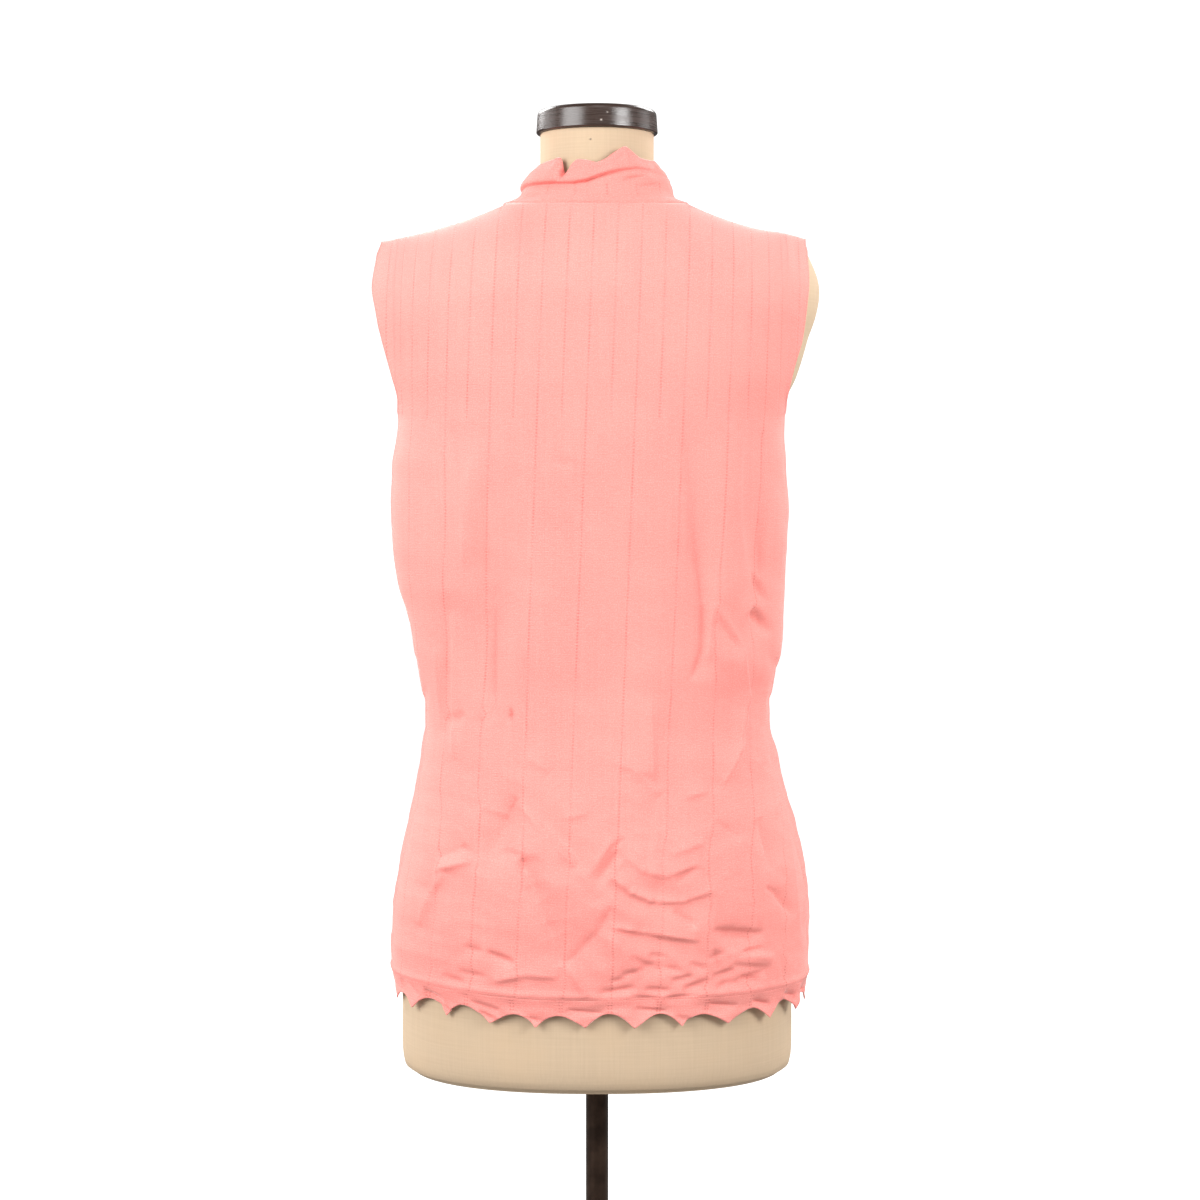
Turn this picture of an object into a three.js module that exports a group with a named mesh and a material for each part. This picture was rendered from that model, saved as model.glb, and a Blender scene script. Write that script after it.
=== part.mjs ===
// Sleeveless mock-neck sweater in fine knit, worn on a limbless dress form that stands on a round base.
// Millimetres, +Z up. The garment's back faces -Y and its front +Y. The origin is the centre of the base's
// underside.
import * as THREE from "three";
import { mergeVertices } from "three/addons/utils/BufferGeometryUtils.js";

// ---- Driving dimensions ----

const CLOTH = 1.5;             // thickness of the knit wall
const SEAM = 0.3;              // gap left between two sewn pieces
const REST = CLOTH + 1.1;      // from the cloth's outer face to the form, where the cloth lies on it
const SQUARE = 2.3;            // exponent of each cross section: 2 is an ellipse, more is squarer

const FORM_BOTTOM = 325;       // underside of the torso
const HEM = 385;               // points of the scalloped edge
const RIDGE = 409;             // turned ridge where the edging meets the panels
const UNDERARM = 899;          // lowest point of the armholes
const SHOULDER = 1083;         // where the shoulder seam meets the collar
const SHOULDER_TIP = 1051;     // outer end of the shoulder seam

const NECK_HALF = 80;          // half width of the neckline
const NECK_BACK = 64;          // depth of the neckline behind the shoulder seam
const NECK_FRONT = 56;         // depth of the neckline in front of it
const NECK_DIP_BACK = 6;       // how far the neckline drops at the centre back
const NECK_DIP_FRONT = 24;     // and at the centre front
const SHOULDER_REACH = 189;    // from the centre to the end of the shoulder line
const SHOULDER_SWEEP = 10;     // extra rise of the shoulder line beside the neck
const SQUARE_RISE = 2.3;       // the right shoulder is squarer: it rises this much more, here
const SQUARE_AT = 166;
const SQUARE_OVER = 20;
const SHOULDER_ROUND = 80;     // height over which the back and front roll over the shoulder
const SHOULDER_HALF = 185;     // half width of the shoulders, of which the neckline takes its share

// Degrees round the body by which the armholes are cut into each panel, from the underarm at 0 to the end of
// the shoulder seam at 1, where the back and the front meet.
const ARMHOLE_CUTS = [
  { rise: 0, backLeft: 0, backRight: 0, frontLeft: 0, frontRight: 0 },
  { rise: 0.03, backLeft: 8, backRight: 8, frontLeft: 9, frontRight: 9 },
  { rise: 0.1, backLeft: 14.5, backRight: 15, frontLeft: 18, frontRight: 18 },
  { rise: 0.2, backLeft: 16.8, backRight: 19.5, frontLeft: 24, frontRight: 24 },
  { rise: 0.3, backLeft: 17.4, backRight: 20.3, frontLeft: 26.5, frontRight: 26.5 },
  { rise: 0.42, backLeft: 18.4, backRight: 19.8, frontLeft: 27.5, frontRight: 27.5 },
  { rise: 0.55, backLeft: 19.4, backRight: 23, frontLeft: 27, frontRight: 27.5 },
  { rise: 0.65, backLeft: 19.5, backRight: 24.4, frontLeft: 25.5, frontRight: 26.5 },
  { rise: 0.77, backLeft: 18.6, backRight: 23.5, frontLeft: 22.5, frontRight: 24 },
  { rise: 0.88, backLeft: 17, backRight: 20.8, frontLeft: 19, frontRight: 20 },
  { rise: 0.95, backLeft: 16.7, backRight: 18.6, frontLeft: 17, frontRight: 17 },
  { rise: 1, backLeft: 16.5, backRight: 15, frontLeft: 16.5, frontRight: 15 },
];

const SCALLOP_PITCH = 42;      // from point to point along the hem
const SCALLOP_DEPTH = 9.5;     // height of each arch
const SCALLOP_START = -10;     // where one point lies, measured along the hem from the centre back
const SCALLOP_STEPS = 6;
const SCALLOP_FLICK = 2.5;     // how far the points stand out

const COLLAR_POINTS = 10;
const COLLAR_STEPS = 6;
const COLLAR_POINT_HEIGHT = 11;
const COLLAR_TOP = 1107;       // valleys of the collar's top edge at the back
const COLLAR_TOP_FRONT = 1101; // and at the front
const COLLAR_LEAN = 3;         // how much higher it stands at the right than in the middle

const ENDS = { left: 7, right: 3, form: -7.5 }; // how far the ends of the shoulders stand out past their sections
const ENDS_FROM = 1040;
const NECK_RADIUS = 49.5;
const NECK_TOP = 1143.7;
const CAP_RADIUS = 53;
const CAP_SIDE = 16;           // height of the neck cap's side, below its domed top
const POLE_RADIUS = 10;
const BASE_RADIUS = 165;
const BASE_HEIGHT = 24;

// ---- Worn sections of the garment's outer face ----
// height; half width at the left and the right; depth behind and in front of the side seams; and the slack
// between the cloth and the form at the sides, the back and the front. Above the underarm the heights are
// those beside the neck, and each section follows the slope of the shoulder.

const SECTIONS = [
  { height: 325, left: 170, right: 170, back: 115, front: 103, sides: 4, behind: 4, before: 4 },
  { height: 330, left: 176, right: 176, back: 120, front: 108, sides: 3, behind: 4, before: 4 },
  { height: 343, left: 179, right: 179, back: 123, front: 110, sides: 4, behind: 4, before: 5 },
  { height: 388, left: 180, right: 185, back: 124, front: 112, sides: 10, behind: 5, before: 6 },
  { height: 410, left: 182, right: 187, back: 125, front: 113, sides: 11, behind: 5, before: 6 },
  { height: 440, left: 182, right: 187, back: 126, front: 113, sides: 10, behind: 4, before: 5 },
  { height: 480, left: 179, right: 187, back: 127, front: 113, sides: 12, behind: 4, before: 5 },
  { height: 515, left: 173, right: 182, back: 124, front: 112, sides: 13, behind: 6, before: 6 },
  { height: 547, left: 166, right: 174, back: 118, front: 109, sides: 15, behind: 9, before: 8 },
  { height: 575, left: 160, right: 165, back: 112, front: 106, sides: 17, behind: 13, before: 10 },
  { height: 606, left: 155, right: 158, back: 107, front: 104, sides: 20, behind: 18, before: 12 },
  { height: 633, left: 152, right: 153, back: 103, front: 103, sides: 23, behind: 20, before: 12 },
  { height: 660, left: 155, right: 155, back: 101, front: 105, sides: 24, behind: 20, before: 12 },
  { height: 691, left: 161, right: 162, back: 101, front: 109, sides: 25, behind: 18, before: 10 },
  { height: 722, left: 166, right: 164, back: 101, front: 114, sides: 20, behind: 14, before: 7 },
  { height: 755, left: 175, right: 165, back: 102, front: 120, sides: 13, behind: 10, before: 4 },
  { height: 784, left: 179, right: 167, back: 103, front: 125, sides: 8, behind: 6, before: 1 },
  { height: 817, left: 181, right: 168, back: 105, front: 127, sides: 5, behind: 3, before: 0.3 },
  { height: 860, left: 179, right: 166, back: 107, front: 123, sides: 3, behind: 1.5, before: 0.8 },
  { height: 899, left: 174, right: 164.5, back: 108, front: 113, sides: 3, behind: 1.5, before: 1.5 },
  { height: 939, left: 184, right: 177.5, back: 108, front: 101, sides: 0.8, behind: 1.5, before: 1.5 },
  { height: 982, left: 195, right: 187.5, back: 106, front: 91, sides: 0.4, behind: 1, before: 1.8 },
  { height: 1011, left: 201, right: 195, back: 104, front: 85, sides: 0.4, behind: 1, before: 2.4 },
  { height: 1037, left: 203.5, right: 197, back: 100, front: 79, sides: 0.4, behind: 1, before: 2.4 },
  { height: 1068, left: 196, right: 191, back: 93, front: 72, sides: 0.4, behind: 0.8, before: 1.8 },
  { height: 1083, left: 189, right: 185, back: 88, front: 68, sides: 0, behind: 0.4, before: 1.2 },
];

// ---- Largest folds ----
// Each runs from one point to another, given across the garment and in height; a negative depth is a trough.

const BACK_FOLDS = [
  { fromX: -84, fromZ: 905, toX: -90, toZ: 655, width: 15, depth: -6 },
  { fromX: -106, fromZ: 880, toX: -108, toZ: 690, width: 14, depth: 4 },
  { fromX: -124, fromZ: 750, toX: -121, toZ: 620, width: 13, depth: -6 },
  { fromX: 84, fromZ: 900, toX: 92, toZ: 670, width: 15, depth: -6 },
  { fromX: 107, fromZ: 900, toX: 112, toZ: 700, width: 13, depth: 5 },
  { fromX: 127, fromZ: 930, toX: 138, toZ: 715, width: 14, depth: -7 },
  { fromX: 105, fromZ: 735, toX: 152, toZ: 690, width: 11, depth: -6 },
  { fromX: -52, fromZ: 760, toX: -48, toZ: 600, width: 18, depth: 4 },
  { fromX: 40, fromZ: 740, toX: 44, toZ: 590, width: 18, depth: 4 },
  { fromX: -66, fromZ: 590, toX: -96, toZ: 512, width: 13, depth: -5 },
  { fromX: -60, fromZ: 575, toX: 2, toZ: 492, width: 14, depth: -6 },
  { fromX: 24, fromZ: 538, toX: -2, toZ: 488, width: 12, depth: -4 },
  { fromX: 14, fromZ: 504, toX: 94, toZ: 488, width: 12, depth: -5 },
  { fromX: -134, fromZ: 520, toX: -148, toZ: 450, width: 12, depth: -5 },
  { fromX: 10, fromZ: 470, toX: 96, toZ: 448, width: 11, depth: -4 },
];

const FRONT_FOLDS = [
  { fromX: -78, fromZ: 800, toX: -70, toZ: 610, width: 17, depth: -6 },
  { fromX: 74, fromZ: 790, toX: 68, toZ: 620, width: 17, depth: -6 },
  { fromX: -112, fromZ: 760, toX: -118, toZ: 600, width: 15, depth: 5 },
  { fromX: 112, fromZ: 770, toX: 120, toZ: 610, width: 15, depth: 5 },
  { fromX: 0, fromZ: 775, toX: -4, toZ: 640, width: 24, depth: 4 },
  { fromX: -138, fromZ: 890, toX: -92, toZ: 830, width: 14, depth: -5 },
  { fromX: 136, fromZ: 890, toX: 92, toZ: 832, width: 14, depth: -5 },
  { fromX: -92, fromZ: 560, toX: -20, toZ: 520, width: 15, depth: -4 },
  { fromX: 30, fromZ: 545, toX: 104, toZ: 500, width: 15, depth: -4 },
];

// ---- Collar's profile ----
// Share of its height above the neck seam, half width and half depth of its outer face. It slumps over a
// crease at half its height.

const COLLAR_PROFILE = [
  { share: 0, wide: 80, deep: 62 },
  { share: 0.13, wide: 71.5, deep: 64 },
  { share: 0.32, wide: 67, deep: 63.5 },
  { share: 0.5, wide: 65, deep: 59.5 },
  { share: 0.68, wide: 62.5, deep: 61.5 },
  { share: 1, wide: 57, deep: 57.5 },
];

// ---- Finishes ----

function finish(color, roughness, metalness = 0) {
  return new THREE.MeshStandardMaterial({ color, roughness, metalness });
}

const KNIT = 0xfba99c;
const LINEN = 0xe4cba6;
const DARK_WOOD = 0x54463f;
const DARK_METAL = 0x3a302a;

// ---- Small helpers ----

const lerp = (from, to, share) => from + (to - from) * share;
const clamp = (value, low, high) => Math.min(Math.max(value, low), high);

function smooth(low, high, value) {
  const share = clamp((value - low) / (high - low), 0, 1);
  return share * share * (3 - 2 * share);
}

// A smooth curve through the rows of a table, read at one value of its first column.
function sample(table, key, at) {
  const last = table.length - 2;
  const next = table.findIndex((row) => row[key] > at);
  const low = clamp((next < 0 ? table.length : next) - 1, 0, last);
  const rows = [-1, 0, 1, 2].map((step) => table[clamp(low + step, 0, last + 1)]);
  const share = clamp((at - rows[1][key]) / (rows[2][key] - rows[1][key]), 0, 1);
  const value = {};
  for (const column of Object.keys(rows[1])) {
    const [a, b, c, d] = rows.map((row) => row[column]);
    const slopeIn = (c - a) / 2;
    const slopeOut = (d - b) / 2;
    const square = share * share;
    const cube = square * share;
    value[column] = (2 * cube - 3 * square + 1) * b + (cube - 2 * square + share) * slopeIn
      + (3 * square - 2 * cube) * c + (cube - square) * slopeOut;
  }
  return value;
}

// ---- The worn surface ----

const BACK = -1;
const FRONT = 1;
const NECK_SHARE = NECK_HALF / SHOULDER_HALF;

// How far the ends of the shoulders stand out, growing towards the top.
const shoulderEnd = (reach, height) =>
  reach * Math.max((height - ENDS_FROM) / (SHOULDER - ENDS_FROM), 0) ** 2;

// A section of the garment, read from the table.
function section(height) {
  const leftEnd = shoulderEnd(ENDS.left, height);
  const rightEnd = shoulderEnd(ENDS.right, height);
  return { ...sample(SECTIONS, "height", height), leftEnd, rightEnd };
}

// The form stands inside the garment by the slack of each section, even on both sides.
function formSection(height) {
  const row = section(height);
  const half = row.right - row.sides;
  const end = shoulderEnd(ENDS.form, height);
  return {
    left: half, right: half, back: row.back - row.behind, front: row.front - row.before, leftEnd: end, rightEnd: end,
  };
}

// Height of the shoulder line, or of the neckline where share (of the neckline's half width) is under 1.
function topHeight(side, x, share, out) {
  const along = clamp((Math.abs(x) - NECK_HALF) / (SHOULDER_REACH - NECK_HALF), 0, 1.1);
  const drop = SHOULDER - SHOULDER_TIP - SHOULDER_SWEEP;
  const line = SHOULDER_TIP + drop * (1 - along) + SHOULDER_SWEEP * Math.max(1 - along, 0) ** 3;
  const square = x > 0 ? SQUARE_RISE * Math.exp(-(((x - SQUARE_AT) / SQUARE_OVER) ** 2)) : 0;
  if (share >= 1) return line + square + out;
  const dip = side === BACK ? NECK_DIP_BACK : NECK_DIP_FRONT;
  return SHOULDER - dip * (1 - share * share) + out * share ** 4;
}

const NECK_SLOPE = 0.95;       // the surface leaves the neckline steeply
const SHOULDER_SLOPE = 0.5;    // and rolls round over the shoulder

// One point of a worn surface: turn runs from -90 degrees at the left side seam to 90 at the right one.
function surfacePoint(row, side, turn, height, out = 0) {
  const angle = THREE.MathUtils.degToRad(turn);
  const across = Math.sign(angle) * Math.abs(Math.sin(angle)) ** (2 / SQUARE);
  const inward = Math.max(Math.cos(angle), 0) ** (2 / SQUARE);
  const [half, end] = turn < 0 ? [row.left, row.leftEnd] : [row.right, row.rightEnd];
  const x = (half + end * across ** 4 + out) * across;
  const depth = ((side === BACK ? row.back : row.front) + out) * inward;
  if (height <= UNDERARM) return new THREE.Vector3(x, side * depth, height);
  const share = Math.abs(across) / NECK_SHARE;
  const rise = (height - UNDERARM) / (SHOULDER - UNDERARM);
  const top = topHeight(side, x, share, out);
  const z = lerp(UNDERARM, top, rise);
  const start = ((side === BACK ? NECK_BACK : NECK_FRONT) + out) * Math.sqrt(Math.max(1 - share * share, 0));
  const down = clamp((top - z) / SHOULDER_ROUND, 0, 1);
  const sharpness = lerp(NECK_SLOPE, SHOULDER_SLOPE, smooth(0.45, 1.1, share));
  const roll = (down * (2 - down)) ** sharpness;
  return new THREE.Vector3(x, side * lerp(start, Math.max(depth, start), roll), z);
}

// Depth of the folds at a point: soft along the fold's length, and rounded across it.
function foldDepth(folds, x, z) {
  let depth = 0;
  for (const fold of folds) {
    const runX = fold.toX - fold.fromX;
    const runZ = fold.toZ - fold.fromZ;
    const length = Math.hypot(runX, runZ);
    const along = ((x - fold.fromX) * runX + (z - fold.fromZ) * runZ) / length ** 2;
    if (along <= 0 || along >= 1) continue;
    const beside = ((x - fold.fromX) * runZ - (z - fold.fromZ) * runX) / length;
    depth += fold.depth * Math.exp(-((beside / fold.width) ** 2)) * Math.sin(Math.PI * along) ** 0.8;
  }
  return depth;
}

// ---- Solids from grids of points ----

// A sheet with thickness: two grids of points, outside and inside, joined round their edges. A ring closes on
// itself.
function wall(outer, inner, ring = false) {
  const rows = outer.length;
  const columns = outer[0].length;
  const points = [...outer.flat(), ...inner.flat()];
  const index = (face, row, column) => (face * rows + row) * columns + (column % columns);
  const faces = [];
  const quad = (a, b, c, d) => faces.push(a, b, c, a, c, d);
  const spans = ring ? columns : columns - 1;
  for (let column = 0; column < spans; column++) {
    for (let row = 0; row < rows - 1; row++) {
      const corners = (face) => [index(face, row, column), index(face, row, column + 1),
        index(face, row + 1, column + 1), index(face, row + 1, column)];
      quad(...corners(0));
      quad(...corners(1).reverse());
    }
    quad(index(1, 0, column), index(1, 0, column + 1), index(0, 0, column + 1), index(0, 0, column));
    quad(index(0, rows - 1, column), index(0, rows - 1, column + 1),
      index(1, rows - 1, column + 1), index(1, rows - 1, column));
  }
  for (let row = 0; row < rows - 1 && !ring; row++) {
    quad(index(0, row, 0), index(0, row + 1, 0), index(1, row + 1, 0), index(1, row, 0));
    const end = columns - 1;
    quad(index(1, row, end), index(1, row + 1, end), index(0, row + 1, end), index(0, row, end));
  }
  return indexed(points, faces);
}

function indexed(points, faces) {
  const geometry = new THREE.BufferGeometry();
  geometry.setAttribute("position", new THREE.Float32BufferAttribute(points.flatMap((p) => p.toArray()), 3));
  geometry.setIndex(faces);
  geometry.computeVertexNormals();
  return geometry;
}

// The triangles between rings of equal count, one above another.
function band(rings) {
  const triangles = [];
  for (let row = 0; row < rings.length - 1; row++) {
    for (let column = 0; column < rings[row].length; column++) {
      const next = (column + 1) % rings[row].length;
      const [a, b] = [rings[row][column], rings[row][next]];
      const [c, d] = [rings[row + 1][next], rings[row + 1][column]];
      triangles.push(a, b, c, a, c, d);
    }
  }
  return triangles;
}

// A flat end: the triangles from a ring to its middle.
function lid(ring, up) {
  const middle = ring.reduce((sum, point) => sum.add(point), new THREE.Vector3()).divideScalar(ring.length);
  return ring.flatMap((point, i) => {
    const next = ring[(i + 1) % ring.length];
    return up ? [point, next, middle] : [next, point, middle];
  });
}

function welded(triangles) {
  const soup = new THREE.BufferGeometry().setFromPoints(triangles);
  const geometry = mergeVertices(soup, 1e-3);
  geometry.computeVertexNormals();
  return geometry;
}

// ---- Panels ----

// Rows above the underarm, as drops from the shoulder.
const TOP_DROPS = [0, 1.3, 5, 12, 22, 36, 55, 80, 108, 134, 158, 173, 180.5];
const SEAM_SIDE = 90;          // turn of the side seam, in degrees

function panelHeights(step) {
  const count = Math.round((UNDERARM - RIDGE) / step);
  const low = Array.from({ length: count + 1 }, (_, i) => lerp(RIDGE, UNDERARM, i / count));
  return [...low, ...TOP_DROPS.map((drop) => SHOULDER - drop).reverse()];
}

// How far the panel reaches round at each height: to the side seam, less the armhole above it.
function edgeTurn(side, share, height) {
  const rise = clamp((height - UNDERARM) / (SHOULDER - UNDERARM), 0, 1);
  const cut = sample(ARMHOLE_CUTS, "rise", rise);
  const ends = side === BACK ? [cut.backLeft, cut.backRight] : [cut.frontLeft, cut.frontRight];
  return SEAM_SIDE - (share < 0 ? ends[0] : ends[1]);
}

// Turn of the corner where neckline and shoulder seam meet.
const CORNER_TURN = THREE.MathUtils.radToDeg(Math.asin(NECK_SHARE ** (SQUARE / 2)));

// Columns of a panel, as shares of its reach. One is the corner.
function panelColumns(neckSpans, shoulderSpans) {
  const corner = CORNER_TURN / SEAM_SIDE;
  const half = [];
  for (let i = 0; i <= neckSpans; i++) half.push((corner * i) / neckSpans);
  for (let i = 1; i <= shoulderSpans; i++) half.push(lerp(corner, 1, i / shoulderSpans));
  return [...half.slice(1).reverse().map((share) => -share), ...half];
}

const FOLDS_END = 1023;        // no folds above this height
const LEAST_ROOM = 0.05;       // how far a trough may press in where the cloth lies on the form

// How far the folds move one point of a panel: they fade at the seams, and troughs stop short of the form.
function foldMove(row, side, turn, height) {
  const plain = surfacePoint(row, side, turn, height);
  const angle = THREE.MathUtils.degToRad(turn);
  const fade = Math.max(Math.cos(angle), 0.1) ** 0.5 * (1 - smooth(UNDERARM, FOLDS_END, height));
  const fold = foldDepth(side === BACK ? BACK_FOLDS : FRONT_FOLDS, plain.x, plain.z) * fade;
  const slack = lerp(side === BACK ? row.behind : row.before, row.sides, Math.sin(angle) ** 2);
  const room = Math.max(slack, LEAST_ROOM);
  return fold < 0 ? -room * Math.tanh(-fold / room) : fold;
}

// Turn of a column. Between the neckline's corners the columns stay upright, and outside they close up as the
// armhole cuts in.
function panelTurn(side, share, height) {
  const corner = CORNER_TURN / SEAM_SIDE;
  if (Math.abs(share) <= corner) return share * SEAM_SIDE;
  const outside = (Math.abs(share) - corner) / (1 - corner);
  return Math.sign(share) * lerp(CORNER_TURN, edgeTurn(side, share, height), outside);
}

// One point of a panel's face, moved out. Its seam edges are set back half a seam from the other panel.
function panelPoint(side, share, height, out) {
  const row = section(height);
  const turn = panelTurn(side, share, height);
  const point = surfacePoint(row, side, turn, height, foldMove(row, side, turn, height) + out);
  point.y += (side * SEAM) / 2;
  return point;
}

function panel(side, shoulderSpans, rowStep) {
  const columns = panelColumns(NECK_SPANS, shoulderSpans);
  const order = side === BACK ? columns : [...columns].reverse();
  const grid = (out) => panelHeights(rowStep)
    .map((height) => order.map((share) => panelPoint(side, share, height, out)));
  return wall(grid(0), grid(-CLOTH));
}

// ---- Scalloped edging ----

// Turn at a length along the hem, measured from the centre.
function hemMeasure(side) {
  const samples = 180;
  const row = section(RIDGE);
  const turns = Array.from({ length: samples + 1 }, (_, i) => lerp(-SEAM_SIDE, SEAM_SIDE, i / samples));
  const points = turns.map((turn) => surfacePoint(row, side, turn, RIDGE));
  const lengths = [0];
  for (let i = 1; i <= samples; i++) lengths.push(lengths[i - 1] + points[i].distanceTo(points[i - 1]));
  const middle = lengths[samples / 2];
  const turnAt = (length) => {
    const target = length + middle;
    const beyond = lengths.findIndex((value) => value > target);
    const next = beyond < 0 ? samples : Math.max(beyond, 1);
    const share = clamp((target - lengths[next - 1]) / (lengths[next] - lengths[next - 1]), 0, 1);
    return lerp(turns[next - 1], turns[next], share);
  };
  return { start: -middle, end: lengths[samples] - middle, turnAt };
}

// Height of the edge: arches with sharp points between them, hanging down.
function scallop(length) {
  const phase = (((length - SCALLOP_START) / SCALLOP_PITCH) % 1 + 1) % 1;
  return Math.sin(Math.PI * phase) ** 0.95;
}

function hemEdging(side) {
  const measure = hemMeasure(side);
  const step = SCALLOP_PITCH / SCALLOP_STEPS;
  const spare = 0.2;           // of a step: columns nearer than this to a side seam are left out
  const first = Math.ceil((measure.start - SCALLOP_START) / step + spare);
  const last = Math.floor((measure.end - SCALLOP_START) / step - spare);
  const lengths = [measure.start];
  for (let i = first; i <= last; i++) lengths.push(SCALLOP_START + i * step);
  lengths.push(measure.end);
  if (side === FRONT) lengths.reverse();
  const rows = [1, 0.5, 0];    // from the edge up to the ridge
  const point = (length, share, out) => {
    const arch = scallop(length);
    const edge = HEM + SCALLOP_DEPTH * arch;
    const height = lerp(RIDGE - SEAM, edge, share);
    const flick = SCALLOP_FLICK * share ** 2 * (1 - arch);
    const place = surfacePoint(section(height), side, measure.turnAt(length), height, out + flick);
    place.y += (side * SEAM) / 2;
    return place;
  };
  const grid = (out) => rows.map((share) => lengths.map((length) => point(length, share, out)));
  return wall(grid(0), grid(-CLOTH));
}

// ---- Collar ----

const NECK_SPANS = 5;          // columns from the centre of each panel to the corner of its neckline
const BACK_SHOULDER_SPANS = 9; // and from there to its side
const FRONT_SHOULDER_SPANS = 7;
const BACK_ROW_STEP = 18.2;    // height of the panels' rows below the underarm
const FRONT_ROW_STEP = 24;

// The neckline of both panels, once round, as the corners of their top edges.
function neckline(out) {
  const edge = (side, spans) => {
    const columns = panelColumns(NECK_SPANS, spans).slice(spans, -spans);
    return columns.map((share) => panelPoint(side, share, SHOULDER, out));
  };
  const front = edge(FRONT, FRONT_SHOULDER_SPANS).reverse();
  const ring = [...edge(BACK, BACK_SHOULDER_SPANS), ...front.slice(1, -1)];
  for (const corner of [0, 2 * NECK_SPANS]) ring[corner].y = 0;
  return ring;
}

function collar() {
  const count = COLLAR_POINTS * COLLAR_STEPS;
  const lift = 1.5 * SEAM;
  const column = (seam, i, out) => {
    const place = (i / count) * seam.length;
    const low = Math.floor(place);
    const base = seam[low].clone().lerp(seam[(low + 1) % seam.length], place - low);
    const angle = Math.atan2(base.y / NECK_BACK, base.x / NECK_HALF);
    base.add(new THREE.Vector3(-lift * Math.cos(angle), -lift * Math.sin(angle), lift));
    const peak = COLLAR_POINT_HEIGHT * Math.abs(2 * ((i / COLLAR_STEPS) % 1) - 1) ** 1.3;
    const forward = smooth(-0.4, 1, Math.sin(angle));
    const rim = lerp(COLLAR_TOP, COLLAR_TOP_FRONT, forward) + COLLAR_LEAN * Math.cos(angle);
    return COLLAR_PROFILE.map(({ share, wide, deep }) => {
      if (share === 0) return base;
      const height = lerp(base.z, rim + peak * share ** 3, share);
      return new THREE.Vector3((wide + out) * Math.cos(angle), (deep + out) * Math.sin(angle), height);
    });
  };
  const grid = (out) => {
    const seam = neckline(out);
    const columns = Array.from({ length: count }, (_, i) => column(seam, i, out));
    return COLLAR_PROFILE.map((_, row) => columns.map((points) => points[row]));
  };
  return wall(grid(0), grid(-CLOTH), true);
}

// ---- Dress form ----

const FORM_NECK_SPANS = 4;
const FORM_SHOULDER_SPANS = 7;
const FORM_HEIGHTS = [FORM_BOTTOM, 330, 343, 388, 440, 480, 515, 547, 590, 633, 691, 740, 784, 817, 860];
const NECK_STRAIGHT = 1122;    // above this the neck is a plain cylinder
const NECK_RINGS = 5;

// The form's surface, once round, at one height; neckOnly leaves out the shoulders.
function formRing(height, neckOnly = false) {
  const columns = panelColumns(FORM_NECK_SPANS, FORM_SHOULDER_SPANS);
  const kept = neckOnly ? columns.slice(FORM_SHOULDER_SPANS, -FORM_SHOULDER_SPANS) : columns;
  const row = formSection(height);
  const arc = (side) => kept.map((share) => surfacePoint(row, side, share * 90, height, -REST));
  return [...arc(BACK).slice(0, -1), ...arc(FRONT).reverse().slice(0, -1)];
}

function formTorso() {
  const upper = [UNDERARM, ...TOP_DROPS.map((drop) => SHOULDER - drop).reverse()];
  const torso = [...FORM_HEIGHTS, ...upper].map((height) => formRing(height));
  const seat = formRing(SHOULDER, true);
  const neck = [seat];
  for (let i = 1; i <= NECK_RINGS; i++) {
    const rise = i / NECK_RINGS;
    neck.push(seat.map((point) => {
      const angle = Math.atan2(point.y / NECK_BACK, point.x / NECK_HALF);
      const round = new THREE.Vector3(NECK_RADIUS * Math.cos(angle), NECK_RADIUS * Math.sin(angle), 0);
      const flare = (1 - rise) ** 2.8;
      return round.lerp(point, flare).setZ(lerp(point.z, NECK_STRAIGHT, rise ** 1.3));
    }));
  }
  neck.push(neck.at(-1).map((point) => point.clone().setZ(NECK_TOP)));
  return welded([...lid(torso[0], false), ...band(torso), ...band(neck), ...lid(neck.at(-1), true)]);
}

// ---- Turned pieces ----

// Half profiles from the bottom of the axis to its top: radius and height.
function turned(profile, sides) {
  const outline = profile.map(([radius, height]) => new THREE.Vector2(radius, height));
  return new THREE.LatheGeometry(outline, sides).rotateX(Math.PI / 2);
}

const CAP_BOTTOM = NECK_TOP + SEAM;
const capProfile = [
  [0, CAP_BOTTOM],
  [CAP_RADIUS - 1, CAP_BOTTOM],
  [CAP_RADIUS, CAP_BOTTOM + 1],
  [CAP_RADIUS - 1.5, CAP_BOTTOM + CAP_SIDE],
  [CAP_RADIUS - 6, CAP_BOTTOM + CAP_SIDE + 3],
  [CAP_RADIUS - 25, CAP_BOTTOM + CAP_SIDE + 6],
  [0, CAP_BOTTOM + CAP_SIDE + 7],
];
const poleProfile = [
  [0, BASE_HEIGHT + SEAM],
  [POLE_RADIUS, BASE_HEIGHT + SEAM],
  [POLE_RADIUS, FORM_BOTTOM - SEAM],
  [0, FORM_BOTTOM - SEAM],
];
const baseProfile = [
  [0, 0],
  [BASE_RADIUS - 2, 0],
  [BASE_RADIUS, 2],
  [BASE_RADIUS, BASE_HEIGHT * 0.5],
  [BASE_RADIUS - 4, BASE_HEIGHT * 0.75],
  [BASE_RADIUS - 13, BASE_HEIGHT],
  [0, BASE_HEIGHT],
];

// ---- The object ----

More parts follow.
